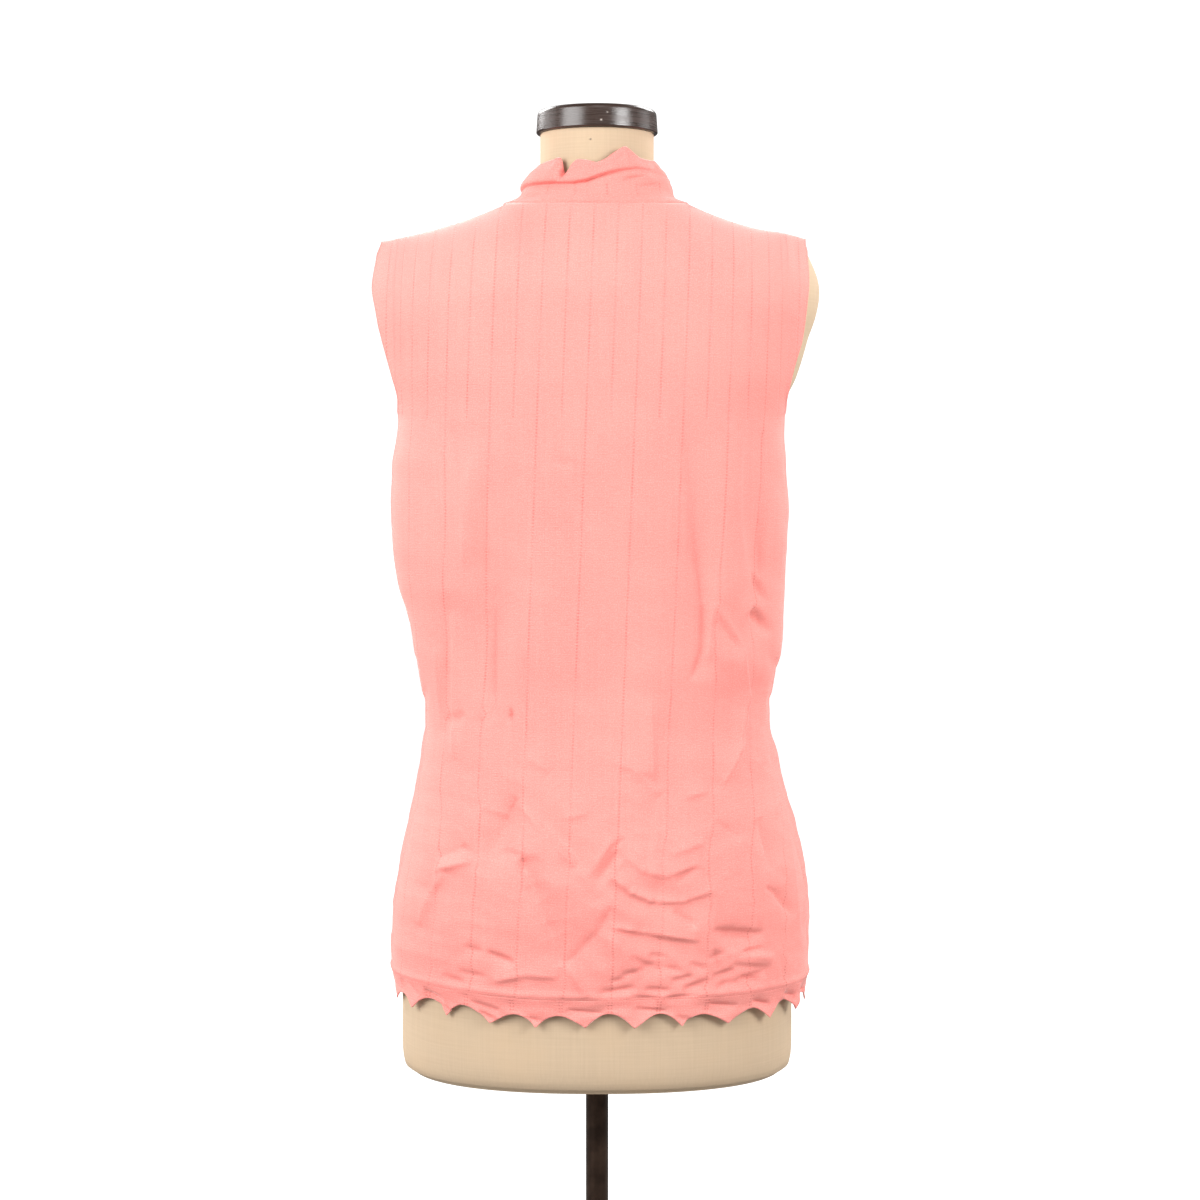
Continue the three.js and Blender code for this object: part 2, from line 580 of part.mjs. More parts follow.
const pieces = [
  ["back_panel", panel(BACK, BACK_SHOULDER_SPANS, BACK_ROW_STEP), finish(KNIT, 0.9)],
  ["front_panel", panel(FRONT, FRONT_SHOULDER_SPANS, FRONT_ROW_STEP), finish(KNIT, 0.9)],
  ["collar", collar(), finish(KNIT, 0.9)],
  ["hem_edging_back", hemEdging(BACK), finish(KNIT, 0.9)],
  ["hem_edging_front", hemEdging(FRONT), finish(KNIT, 0.9)],
  ["form_torso", formTorso(), finish(LINEN, 0.85)],
  ["neck_cap", turned(capProfile, 40), finish(DARK_WOOD, 0.4)],
  ["stand_pole", turned(poleProfile, 24), finish(DARK_METAL, 0.4, 0.6)],
  ["stand_base", turned(baseProfile, 48), finish(DARK_WOOD, 0.45)],
];

const group = new THREE.Group();
for (const [name, geometry, material] of pieces) {
  const mesh = new THREE.Mesh(geometry, material);
  mesh.name = name;
  group.add(mesh);
}

export default group;
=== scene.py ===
"""Sleeveless mock-neck sweater in fine pointelle knit, worn on a limbless linen dress form.

Laid out as an add-on: each piece of the sweater, the form, its stand and the stage has an operator of its
own. Lengths in the functions below are in millimetres and are turned to metres where a mesh is made. +Z is
up, the garment's back faces -Y and its front +Y.
"""

import math
from collections import namedtuple

import bmesh
import bpy
import numpy as np
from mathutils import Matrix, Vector


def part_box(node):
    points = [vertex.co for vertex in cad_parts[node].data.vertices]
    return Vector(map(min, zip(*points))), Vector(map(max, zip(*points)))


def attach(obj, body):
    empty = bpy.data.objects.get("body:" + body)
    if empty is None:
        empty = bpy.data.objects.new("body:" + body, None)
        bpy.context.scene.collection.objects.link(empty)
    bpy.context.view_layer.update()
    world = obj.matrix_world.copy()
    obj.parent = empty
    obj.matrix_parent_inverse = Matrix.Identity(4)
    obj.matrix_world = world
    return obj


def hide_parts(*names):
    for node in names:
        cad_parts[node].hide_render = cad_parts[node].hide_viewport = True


bl_info = {
    "name": "Pointelle Sweater on a Dress Form",
    "version": (1, 0, 0),
    "blender": (4, 5, 0),
    "location": "3D View > Sidebar > Sweater",
    "description": "Builds a sleeveless pointelle sweater, its dress form and a plain studio",
    "category": "Object",
}

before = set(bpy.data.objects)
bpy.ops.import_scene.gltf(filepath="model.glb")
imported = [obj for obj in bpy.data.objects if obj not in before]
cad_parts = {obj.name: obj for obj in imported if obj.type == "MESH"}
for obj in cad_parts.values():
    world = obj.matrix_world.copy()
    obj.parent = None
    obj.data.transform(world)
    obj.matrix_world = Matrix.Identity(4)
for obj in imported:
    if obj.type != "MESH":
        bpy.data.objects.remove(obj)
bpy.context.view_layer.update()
BODY = "root"
MM = 0.001


def corners(node):
    """Lowest and highest corner of a solid, in millimetres."""
    low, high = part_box(node)
    return np.array(low) / MM, np.array(high) / MM


# ---- Sizes taken from the solids ----

PANEL_LOW, PANEL_HIGH = corners("back_panel")
EDGING_LOW = corners("hem_edging_back")[0]
TORSO_LOW, TORSO_HIGH = corners("form_torso")
CAP_LOW, CAP_HIGH = corners("neck_cap")
POLE_LOW, POLE_HIGH = corners("stand_pole")
BASE_HIGH = corners("stand_base")[1]

RIDGE = PANEL_LOW[2]           # turned ridge where the edging meets the panels
SHOULDER = PANEL_HIGH[2]       # where the shoulder seam meets the collar
HEM = EDGING_LOW[2]            # points of the scalloped edge
FORM_BOTTOM = TORSO_LOW[2]
NECK_TOP = TORSO_HIGH[2]
CAP_RADIUS = CAP_HIGH[0]
POLE_RADIUS = POLE_HIGH[0]
BASE_RADIUS = BASE_HIGH[0]

# ---- The cut of the garment ----

UNDERARM = 899                 # lowest point of the armholes
SHOULDER_TIP = 1051            # outer end of the shoulder seam
NECK_HALF = 80                 # half width of the neckline
NECK_DEPTH = {"back": 64, "front": 56}      # from the neck's middle to the neckline
NECK_DIP = {"back": 6, "front": 24}         # how far the neckline dips below its corners
SHOULDER_REACH = 189           # how far out the shoulder seam ends
SHOULDER_PAST = 1.1            # the shoulder line is drawn on to here, as a share of its run
SHOULDER_SWEEP = 10            # extra rise of the shoulder line beside the neck
SHOULDER_ROUND = 80            # height over which the panels roll over the shoulder
SHOULDER_HALF = 185            # half width of the sections at the shoulder seam
NECK_SHARE = NECK_HALF / SHOULDER_HALF
NECK_SLOPE = 0.95              # exponent of the roll beside the neck: 0.5 is a round one, 1 a flat slope
SHOULDER_SLOPE = 0.5           # and along the shoulder seam
SLOPE_CHANGES = (0.45, 1.1)    # between these shares of the neckline one gives way to the other
SQUARE = 2.3                   # exponent of the cross sections: 2 is an ellipse, more is squarer
REST = 2.6                     # from the cloth's outer face to the form, where the cloth lies on it
SEAM_SIDE = 90                 # turn of the side seam, in degrees
CORNER_TURN = math.degrees(math.asin(NECK_SHARE ** (SQUARE / 2)))   # and of the neckline's corners

# Degrees round the body by which each armhole is cut in, from the underarm at 0 to the end of the shoulder
# seam at 1, where back and front meet. Share of the armhole's height, back left and right, front the same.
ARMHOLE = np.array([
    (0.0, 0, 0, 0, 0),
    (0.03, 8, 8, 9, 9),
    (0.1, 14.5, 15, 18, 18),
    (0.2, 16.8, 19.5, 24, 24),
    (0.3, 17.4, 20.3, 26.5, 26.5),
    (0.42, 18.4, 19.8, 27.5, 27.5),
    (0.55, 19.4, 23, 27, 27.5),
    (0.65, 19.5, 24.4, 25.5, 26.5),
    (0.77, 18.6, 23.5, 22.5, 24),
    (0.88, 17, 20.8, 19, 20),
    (0.95, 16.7, 18.6, 17, 17),
    (1.0, 16.5, 15, 16.5, 15),
], float)

# The right shoulder is squarer: it rises this much more here.
SQUARE_RISE = 2.3
SQUARE_AT = 166
SQUARE_OVER = 20

# How far the ends of the shoulders stand out past their sections, growing towards the top.
ENDS = {"left": 7, "right": 3, "form": -7.5}
ENDS_FROM = 1040

# Worn sections of the cloth's outer face, and the slack between it and the form.
SECTION_COLUMNS = ("height", "left", "right", "back", "front", "sides", "behind", "before")
SECTIONS = np.array([
    (325, 170, 170, 115, 103, 4, 4, 4),
    (330, 176, 176, 120, 108, 3, 4, 4),
    (343, 179, 179, 123, 110, 4, 4, 5),
    (388, 180, 185, 124, 112, 10, 5, 6),
    (410, 182, 187, 125, 113, 11, 5, 6),
    (440, 182, 187, 126, 113, 10, 4, 5),
    (480, 179, 187, 127, 113, 12, 4, 5),
    (515, 173, 182, 124, 112, 13, 6, 6),
    (547, 166, 174, 118, 109, 15, 9, 8),
    (575, 160, 165, 112, 106, 17, 13, 10),
    (606, 155, 158, 107, 104, 20, 18, 12),
    (633, 152, 153, 103, 103, 23, 20, 12),
    (660, 155, 155, 101, 105, 24, 20, 12),
    (691, 161, 162, 101, 109, 25, 18, 10),
    (722, 166, 164, 101, 114, 20, 14, 7),
    (755, 175, 165, 102, 120, 13, 10, 4),
    (784, 179, 167, 103, 125, 8, 6, 1),
    (817, 181, 168, 105, 127, 5, 3, 0.3),
    (860, 179, 166, 107, 123, 3, 1.5, 0.8),
    (899, 174, 164.5, 108, 113, 3, 1.5, 1.5),
    (939, 184, 177.5, 108, 101, 0.8, 1.5, 1.5),
    (982, 195, 187.5, 106, 91, 0.4, 1, 1.8),
    (1011, 201, 195, 104, 85, 0.4, 1, 2.4),
    (1037, 203.5, 197, 100, 79, 0.4, 1, 2.4),
    (1068, 196, 191, 93, 72, 0.4, 0.8, 1.8),
    (1083, 189, 185, 88, 68, 0, 0.4, 1.2),
], float)

# ---- Folds and creases ----
# Each runs from one point to another, given across the garment and in height. A negative depth is a trough.
# A crease has a steep side and a gentle one. facet is how long the gentle one is. Where it is positive, that
# side lies on the right, going along.

Fold = namedtuple("Fold", "x1 z1 x2 z2 width depth facet", defaults=(0,))

BACK_FOLDS = [
    # Hanging folds from the shoulder blades to the waist.
    Fold(-84, 905, -90, 655, 15, -6),
    Fold(-106, 880, -108, 690, 14, 4),
    Fold(-124, 750, -121, 620, 13, -6),
    Fold(84, 900, 92, 670, 13, -2.5),
    Fold(107, 900, 112, 700, 13, 3),
    Fold(130, 930, 140, 715, 12, -4),
    Fold(105, 735, 152, 690, 10, -3),
    Fold(121, 900, 123, 745, 9, 3.0),
    Fold(114, 690, 114, 606, 11, -4),
    Fold(-52, 760, -48, 600, 18, 4),
    Fold(40, 740, 44, 590, 18, 4),
    Fold(-66, 590, -96, 512, 13, -5),
    Fold(-60, 575, 2, 492, 14, -6),
    Fold(24, 538, -2, 488, 12, -4),
    Fold(-56, 542, -14, 478, 14, 2.5),
    Fold(14, 504, 94, 488, 12, -5),
    Fold(-134, 520, -148, 450, 12, -5),
    Fold(10, 470, 96, 448, 11, -4),
]

BACK_CREASES = [
    # The long peak over the seat: its left leg, and its right leg falling to the middle.
    Fold(-69, 577, -94, 526, 8, -4.0, -0.8),
    Fold(-68, 574, -18, 522, 5, 4.4, 0.9),
    Fold(-34, 540, 3, 496, 5, 3.6, 0.9),
    # The narrow V beside it, between two raised bands.
    Fold(-7, 513, 14, 546, 4, 2.2),
    Fold(1, 508, 19, 535, 3, -3.2),
    Fold(14, 536, 24, 545, 3, -2.2),
    Fold(4, 500, 24, 530, 4, 2.2),
    # The inner leg, from the pucker under the peak down to the hem.
    Fold(-65, 526, -50, 492, 7, -4.6, -0.8),
    Fold(-57, 505, -38, 462, 7, -4.6, -0.8),
    Fold(-42, 474, -31, 438, 7, -4.4, -0.8),
    Fold(-64, 532, -63, 514, 3, -2.6, -0.4),
    Fold(-87, 526, -77, 533, 3, -2.2, 0.5),
    Fold(-79, 533, -66, 529, 3, -2.2, 0.5),
    # The smile under the small of the back.
    Fold(12, 514, 31, 498, 4, 3.6, -0.6),
    Fold(27, 501, 48, 492, 4, 4.2, -0.6),
    Fold(42, 493, 77, 491, 4, 3.4, -0.7),
    Fold(71, 491, 98, 500, 4, 2.6, -0.7),
    Fold(65, 483, 84, 470, 3, -3.8, -0.5),
    # The knee of cloth at the lower middle.
    Fold(12, 488, 1, 464, 5, -3.4, -0.8),
    Fold(3, 467, -16, 450, 5, -4.2, -0.8),
    Fold(-13, 452, -28, 438, 5, -3.4, -0.8),
    Fold(9, 472, 42, 466, 3, 3.2, -0.4),
    Fold(38, 467, 86, 458, 3.5, 3.4, -0.4),
    Fold(12, 470, 38, 428, 6, 3.2, 0.7),
    Fold(-24, 441, -9, 411, 4, 2.4),
    Fold(27, 446, 58, 431, 3.5, -2.6, 0.4),
    Fold(36, 437, 62, 441, 3, -1.8, 0.4),
    # The deep pleat at the right, and the gathers under it.
    Fold(97, 466, 142, 459, 4.5, -5.2, 0.6),
    Fold(104, 461, 136, 455, 3, -3.0, 0.4),
    Fold(99, 450, 104, 431, 3, -2.6),
    Fold(93, 441, 110, 447, 2.6, -2.0),
    Fold(106, 447, 152, 437, 5, 3.4, 0.8),
    Fold(114, 435, 148, 429, 3.5, -2.4, 0.4),
    # Left of the seat: a raised lozenge under a hollow, and the curve beyond it.
    Fold(-139, 512, -104, 524, 5, 3.6, -0.3),
    Fold(-138, 522, -110, 534, 5, -3.2, -0.7),
    Fold(-116, 534, -100, 524, 4, -1.8, -0.5),
    Fold(-153, 460, -143, 495, 6, 3.0, -0.6),
    Fold(-144, 491, -130, 511, 6, 2.8, -0.6),
    Fold(-93, 446, -69, 439, 3.2, -4.2, 0.3),
    Fold(-88, 421, -60, 430, 4, 2.6, -0.6),
    Fold(-64, 430, -33, 429, 4, 2.4, -0.6),
    Fold(-118, 426, -92, 424, 3.5, -2.2, 0.4),
    Fold(-112, 449, -96, 446, 3, -1.8, 0.4),
    # Small puckers just above the hem.
    Fold(1, 414, 33, 420, 3, -3.4, 0.5),
    Fold(40, 418, 62, 416, 2.8, -3.0, 0.5),
    Fold(72, 416, 96, 424, 3, -3.4, 0.5),
    Fold(20, 430, 44, 436, 3, -2.4, 0.4),
    Fold(10, 424, 24, 428, 2.6, -1.8, 0.4),
    Fold(-132, 420, -112, 416, 3, -2.0, 0.5),
    Fold(112, 419, 146, 427, 3.2, -2.6, 0.5),
    Fold(44, 447, 60, 444, 2.6, -2.8, 0.4),
    Fold(52, 437, 74, 431, 2.6, -2.8, -0.4),
    Fold(62, 424, 82, 428, 2.6, -3.0, 0.5),
    Fold(78, 439, 93, 433, 2.6, -2.4, 0.4),
    Fold(97, 426, 116, 431, 2.8, -3.4, 0.5),
    Fold(101, 417, 114, 421, 2.4, -2.6, 0.4),
    Fold(118, 443, 141, 447, 2.6, -3.2, 0.4),
    Fold(121, 424, 140, 419, 2.6, -2.6, 0.4),
    Fold(28, 412, 52, 410, 2.6, -2.6, 0.5),
    Fold(58, 410, 84, 412, 2.6, -2.6, 0.4),
    # Right hip: a dark tuck beside a raised upright band.
    Fold(150, 494, 172, 468, 4, -4.2, -0.6),
    Fold(144, 498, 152, 492, 3, -2.4),
    Fold(166, 548, 173, 494, 4.5, 3.0),
    Fold(172, 502, 177, 434, 4.5, 3.0),
    Fold(138, 556, 150, 512, 7, -2.6, -0.5),
    Fold(100, 556, 124, 540, 5, -2.0, 0.6),
    # Arcs in the small of the back.
    Fold(16, 606, 48, 596, 6, 1.8, -0.6),
    Fold(29, 601, 53, 580, 5, 1.8, 0.6),
    Fold(73, 577, 94, 582, 5, 1.8, -0.6),
    Fold(20, 534, 40, 516, 4, 2.2, -0.6),
    Fold(36, 519, 60, 512, 4, 2.0, -0.6),
    Fold(56, 513, 86, 522, 4, 2.2, -0.6),
    Fold(66, 506, 84, 520, 4, -1.8, -0.4),
    Fold(60, 530, 92, 541, 5, 1.6, -0.5),
    Fold(-98, 568, -72, 560, 5, 1.6, -0.5),
    Fold(-30, 560, -6, 566, 5, 1.4, -0.5),
    Fold(-58, 612, -40, 598, 6, 1.4, 0.5),
    # Hanging folds with sharper lines in them.
    Fold(76, 880, 84, 790, 4, -2.4, -0.5),
    Fold(80, 834, 91, 728, 4, -4.0, -0.6),
    Fold(91, 738, 90, 696, 4, -4.2, -0.6),
    Fold(91, 702, 80, 676, 4, -3.2, -0.6),
    Fold(98, 740, 95, 690, 4, 2.4),
    Fold(141, 884, 142, 760, 6, -7.0, 0.9),
    Fold(134, 764, 148, 738, 4, -4.0, 0.5),
    Fold(134, 734, 153, 711, 4.5, -9.0, 0.4),
    Fold(104, 728, 125, 698, 2.6, -3.0, 0.5),
    Fold(107, 731, 129, 692, 2.8, 2.4),
    Fold(123, 702, 131, 648, 3, 3.0, 0.6),
    Fold(131, 664, 121, 610, 3, 2.8, 0.6),
    Fold(127, 622, 107, 586, 3, 2.2, 0.5),
    Fold(152, 672, 140, 632, 4, -3.4, 0.6),
    Fold(146, 644, 150, 600, 5, 2.4),
    Fold(-107, 862, -110, 770, 6, 2.6, -0.5),
    Fold(-87, 862, -89, 790, 4, -3.4, 0.5),
    Fold(-90, 800, -88, 740, 4, -2.4, 0.5),
    Fold(-90, 756, -86, 640, 5, -3.2, 0.9),
    Fold(-124, 732, -122, 606, 5, 4.0, -0.9),
    Fold(-139, 700, -134, 630, 6, 2.4, 0.4),
    Fold(-125, 890, -114, 840, 6, -2.2, -0.5),
    Fold(-62, 700, -60, 610, 6, -1.8, -0.5),
    Fold(44, 660, 48, 590, 6, 1.6, 0.5),
    # A snag in the knit, a dimple and two faint puckers.
    Fold(-39, 859, -18, 857, 2.4, -1.6),
    Fold(-73, 650, -72, 640, 2, -3.4),
    Fold(-131, 639, -112, 643, 3, -3.0, 0.4),
    Fold(-104, 640, -96, 641, 3, -1.4, 0.4),
]

FRONT_FOLDS = [
    Fold(-78, 800, -70, 610, 17, -6),
    Fold(74, 790, 68, 620, 17, -6),
    Fold(-112, 760, -118, 600, 15, 5),
    Fold(112, 770, 120, 610, 15, 5),
    Fold(0, 775, -4, 640, 24, 4),
    Fold(-138, 890, -92, 830, 14, -5),
    Fold(136, 890, 92, 832, 14, -5),
    Fold(-92, 560, -20, 520, 15, -4),
    Fold(30, 545, 104, 500, 15, -4),
]

FRONT_CREASES = [
    Fold(-132, 884, -96, 846, 5, -2.2, 0.5),
    Fold(-128, 862, -100, 838, 4.5, -1.6, 0.5),
    Fold(130, 882, 98, 848, 5, -2.2, -0.5),
    Fold(124, 858, 102, 840, 4.5, -1.4, -0.5),
    Fold(-60, 640, -20, 622, 5, -2.4, 0.5),
    Fold(14, 634, 62, 652, 5, -2.6, 0.5),
    Fold(-36, 668, 8, 660, 4.5, -1.8, 0.5),
    Fold(-126, 650, -96, 628, 5, -2.4, 0.5),
    Fold(98, 664, 128, 640, 5, -2.8, 0.5),
    Fold(-84, 566, -52, 536, 5, -2.6, -0.5),
    Fold(-58, 542, -8, 516, 5, -2.4, -0.5),
    Fold(36, 546, 78, 518, 5, -2.8, -0.5),
    Fold(70, 524, 108, 498, 5, -2.2, -0.5),
    Fold(-20, 500, 26, 492, 4.5, -2.4, -0.6),
    Fold(-118, 506, -92, 470, 5, -2.2, 0.5),
    Fold(118, 478, 132, 440, 5, -2.2, -0.4),
    Fold(-64, 470, -36, 446, 4.5, -2.2, -0.5),
    Fold(6, 462, 44, 452, 4.5, -2.2, -0.5),
    Fold(-96, 428, -66, 422, 3.6, -1.8, 0.5),
    Fold(-24, 420, 12, 424, 3.6, -1.8, 0.5),
    Fold(58, 426, 92, 418, 3.6, -2.0, 0.5),
    Fold(120, 426, 142, 432, 3.6, -1.6, 0.5),
]

# Round the sides the first and third numbers are depths, from the back at negative to the front at positive.
SIDE_CREASES = {
    "left": [
        Fold(-46, 664, 22, 640, 6, -1.6, 0.5),
        Fold(-30, 690, 34, 676, 6, -1.2, 0.5),
        Fold(-24, 628, 40, 618, 6, -1.2, -0.4),
        Fold(-20, 720, 26, 700, 6, -0.9, 0.5),
        Fold(-40, 560, -12, 500, 6, -1.0, 0.4),
        Fold(26, 570, 12, 516, 6, -0.9, 0.4),
        Fold(-14, 470, 8, 430, 6, -1.0, 0.4),
        Fold(34, 456, 24, 420, 5, -0.8, 0.4),
    ],
    "right": [
        Fold(-52, 694, 20, 668, 6, -1.8, 0.5),
        Fold(-36, 656, 30, 646, 6, -1.4, 0.5),
        Fold(-22, 628, 36, 612, 6, -1.0, -0.4),
        Fold(-10, 724, 34, 708, 6, -0.8, 0.5),
        Fold(-46, 540, -30, 480, 6, -1.0, 0.4),
        Fold(10, 548, 24, 490, 6, -1.0, 0.4),
        Fold(-36, 462, -18, 424, 6, -1.0, 0.4),
        Fold(20, 452, 34, 418, 5, -0.8, 0.4),
    ],
}

FOLDS_END = 1023               # the broad folds have faded above this height
FOLD_FADE = 0.8                # exponents of how a broad fold, a crease and its facet fade to their ends
CREASE_FADE = 0.55
FACET_FADE = 0.7
CREASE_BOLD = 1.3              # how much bolder the creases are than their tables say
CREASE_TIP = 0.6               # how round the line of a sharp crease is
CREASE_BLEND = 1.5             # half width over which its steep side turns to the facet
CREASE_STEEP = 0.55            # how soon its steep side dies out, as a share of its width
CREASE_FACET = 2.6             # and how much longer its facet is
SPARE_ROOM = 1.1               # how far a crease may press in where the cloth lies on the form
LEAST_FACING = 0.1             # broad folds keep at least this share of facing out at the sides
SIDE_TURNS = (0.62, 0.3)       # shares of facing out between which the sides' own creases take over

RIPPLE = 0.35                  # height of the faint unevenness all over
RIPPLE_ABOVE = 0.35            # share of it that is left above the broad folds
RIPPLE_WAVES = 14
RIPPLE_LENGTHS = (24, 70)
RIPPLE_SEED = 7
RIPPLE_ROUND = 0.6             # how far the pattern moves on for each unit of depth, going round the sides

# Small facets like those of crushed cloth, all over low down and up the right side to the ribs.
CRUMPLE = 0.3
CRUMPLE_FADES = (540, 650)
CRUMPLE_RIGHT = 0.6
CRUMPLE_RIGHT_FROM = (90, 140)
CRUMPLE_RIGHT_FADES = (720, 800)
CRUMPLE_SEEDS = (21, 22)
CRUMPLE_ROUND = 0.8
CRUMPLE_FINER = (1.3, 1.5)     # how much finer its second pattern is, across and up

# ---- The knit's pattern ----

POINTELLE_GAP = 20.5           # between pointelle columns above the bust, and twice that below it
POINTELLE_THINS = 896          # height where every second column ends
POINTELLE_LEAN = 0.0403        # how far the columns lean across for each unit of height
POINTELLE_FOOT = -9.0          # where an ending column would meet the height below
POINTELLE_FOOT_AT = 390
EYELET_PITCH = 2.7             # from one eyelet up to the next
EYELET_RADIUS = 0.95
# The dark of an eyelet is painted shade seen through its hole.
EYELET_EDGE = (1.3, 0.4)       # shares of the radius between which an eyelet grows dark
HEM_EYELETS_AT = 11.0          # first hem eyelets from the centre back, over an arch
HEM_EYELETS_GAP = 2.6          # between the two that lie abreast
HEM_EYELETS = (-11.5, -2.0)    # the lowest and highest, measured from the ridge
SCALLOP_PITCH = 42
COLLAR_EYELETS_AT = 4.0
COLLAR_EYELETS_GAP = 27.0
COLLAR_EYELETS = (7, 17)       # the lowest and highest, measured from the neck seam


# ---- Small helpers ----

def lerp(start, end, share):
    """A value on the way from start to end."""
    return start + (end - start) * share


def smooth(low, high, value):
    """0 at low and 1 at high, with a soft step between them."""
    share = np.clip((value - low) / (high - low), 0, 1)
    return share * share * (3 - 2 * share)


def swell(value, middle, width):
    """1 in the middle, dying away within about a width on both sides."""
    return np.exp(-((value - middle) / width) ** 2)


def linear(code):
    """An sRGB hex colour as linear light, with full alpha."""
    channels = []
    for shift in (16, 8, 0):
        value = ((code >> shift) & 0xFF) / 255
        channels.append(value / 12.92 if value <= 0.04045 else ((value + 0.055) / 1.055) ** 2.4)
    return (*channels, 1.0)


def sample(table, at):
    """A smooth curve through the rows of a table, read at values of its first column."""
    at = np.asarray(at, float)
    keys = table[:, 0]
    last = len(keys) - 1
    low = np.clip(np.searchsorted(keys, at, side="right") - 1, 0, last - 1)
    a, b, c, d = (table[np.clip(low + step, 0, last)] for step in (-1, 0, 1, 2))
    share = np.clip((at - b[..., 0]) / (c[..., 0] - b[..., 0]), 0, 1)[..., None]
    square = share * share
    cube = square * share
    return ((2 * cube - 3 * square + 1) * b + (cube - 2 * square + share) * (c - a) / 2
            + (3 * square - 2 * cube) * c + (cube - square) * (d - b) / 2)


def shoulder_end(reach, height):
    """How far the end of a shoulder stands out past its section."""
    return reach * np.maximum((height - ENDS_FROM) / (SHOULDER - ENDS_FROM), 0) ** 2


def section(height):
    """The garment's section at a height, by the names of its columns."""
    row = dict(zip(SECTION_COLUMNS, np.moveaxis(sample(SECTIONS, height), -1, 0)))
    for side in ("left", "right"):
        row[f"{side} end"] = shoulder_end(ENDS[side], height)
    return row


# ---- The worn surface ----

def top_height(side, x, share, out):
    """Height of the shoulder line, or of the neckline inside it."""
    along = np.clip((np.abs(x) - NECK_HALF) / (SHOULDER_REACH - NECK_HALF), 0, SHOULDER_PAST)
    drop = SHOULDER - SHOULDER_TIP - SHOULDER_SWEEP
    line = SHOULDER_TIP + drop * (1 - along) + SHOULDER_SWEEP * np.maximum(1 - along, 0) ** 3
    line = line + np.where(x > 0, SQUARE_RISE * swell(x, SQUARE_AT, SQUARE_OVER), 0)
    neckline = SHOULDER - NECK_DIP[side] * (1 - share * share) + out * share ** 4
    return np.where(share >= 1, line + out, neckline)


def surface_point(row, side, turn, height, out):
    """Points of a worn surface. turn runs from -90 degrees at the left side seam to 90 at the right one."""
    angle = np.radians(turn)
    across = np.sign(angle) * np.abs(np.sin(angle)) ** (2 / SQUARE)
    inward = np.maximum(np.cos(angle), 0) ** (2 / SQUARE)
    facing = -1 if side == "back" else 1
    end = np.where(turn < 0, row["left end"], row["right end"]) * across ** 4
    x = (np.where(turn < 0, row["left"], row["right"]) + end + out) * across
    depth = (row[side] + out) * inward
    share = np.abs(across) / NECK_SHARE
    rise = np.maximum(height - UNDERARM, 0) / (SHOULDER - UNDERARM)
    top = top_height(side, x, share, out)
    z = lerp(UNDERARM, top, rise)
    start = (NECK_DEPTH[side] + out) * np.sqrt(np.maximum(1 - share * share, 0))
    down = np.clip((top - z) / SHOULDER_ROUND, 0, 1)
    slope = lerp(NECK_SLOPE, SHOULDER_SLOPE, smooth(*SLOPE_CHANGES, share))
    roll = np.maximum(down * (2 - down), 0) ** slope
    upper = lerp(start, np.maximum(depth, start), roll)
    low = height <= UNDERARM
    return np.stack([x, facing * np.where(low, depth, upper), np.where(low, height, z)], -1)


def fold_depth(folds, p, q):
    """Depth of broad folds at points, rounded across."""
    depth = np.zeros_like(p)
    for fold in folds:
        beside, fade = beside_fold(fold, p, q)
        depth += fold.depth * fade ** FOLD_FADE * swell(beside, 0, fold.width)
    return depth


def crease_depth(creases, p, q):
    """Depth of creases at points. Each comes to a line, with a steep side and a long flat facet."""
    depth = np.zeros_like(p)
    for fold in creases:
        beside, fade = beside_fold(fold, p, q)
        near = np.hypot(beside, CREASE_TIP) - CREASE_TIP
        gentle = smooth(-CREASE_BLEND, CREASE_BLEND, beside * np.sign(fold.facet))
        facet = gentle * abs(fold.facet) * fade ** FACET_FADE
        reach = fold.width * (CREASE_STEEP + CREASE_FACET * facet)
        depth += CREASE_BOLD * fold.depth * fade ** CREASE_FADE * np.exp(-near / reach)
    return depth


def beside_fold(fold, p, q):
    """Distance to the right of a fold, going along it, and how much of the fold is left towards its ends."""
    run = np.array([fold.x2 - fold.x1, fold.z2 - fold.z1])
    length = np.hypot(*run)
    along = ((p - fold.x1) * run[0] + (q - fold.z1) * run[1]) / length ** 2
    beside = ((p - fold.x1) * run[1] - (q - fold.z1) * run[0]) / length
    return beside, np.sin(np.pi * np.clip(along, 0, 1))


def ripples(p, q, seed):
    """Faint unevenness: a few long soft waves in mixed directions, mostly from -1 to 1."""
    draw = np.random.default_rng(seed)
    total = np.zeros(np.broadcast_shapes(np.shape(p), np.shape(q)))
    for _ in range(RIPPLE_WAVES):
        heading = draw.uniform(0, math.pi)
        length = draw.uniform(*RIPPLE_LENGTHS)
        phase = draw.uniform(0, 2 * math.pi)
        total += np.sin(2 * math.pi * (p * math.cos(heading) + q * math.sin(heading)) / length + phase)
    return total / math.sqrt(RIPPLE_WAVES)


def crumple(x, y, z, height):
    """Small facets like those of crushed cloth, low down and up the right side."""
    low_down = 1 - smooth(*CRUMPLE_FADES, height)
    right = CRUMPLE_RIGHT * smooth(*CRUMPLE_RIGHT_FROM, x) * (1 - smooth(*CRUMPLE_RIGHT_FADES, height))
    across = x + CRUMPLE_ROUND * y
    coarse, fine = CRUMPLE_SEEDS
    finer = ripples(across * CRUMPLE_FINER[0], z * CRUMPLE_FINER[1], fine)
    facets = np.abs(ripples(across, z, coarse)) - np.abs(finer)
    return CRUMPLE * facets * np.minimum(low_down + right, 1)


def edge_turn(side, share, height):
    """How far a panel reaches round: to the side seam, less the armhole above it."""
    rise = np.clip((height - UNDERARM) / (SHOULDER - UNDERARM), 0, 1)
    cut = sample(ARMHOLE, rise)
    left, right = (1, 2) if side == "back" else (3, 4)
    return SEAM_SIDE - np.where(share < 0, cut[..., left], cut[..., right])


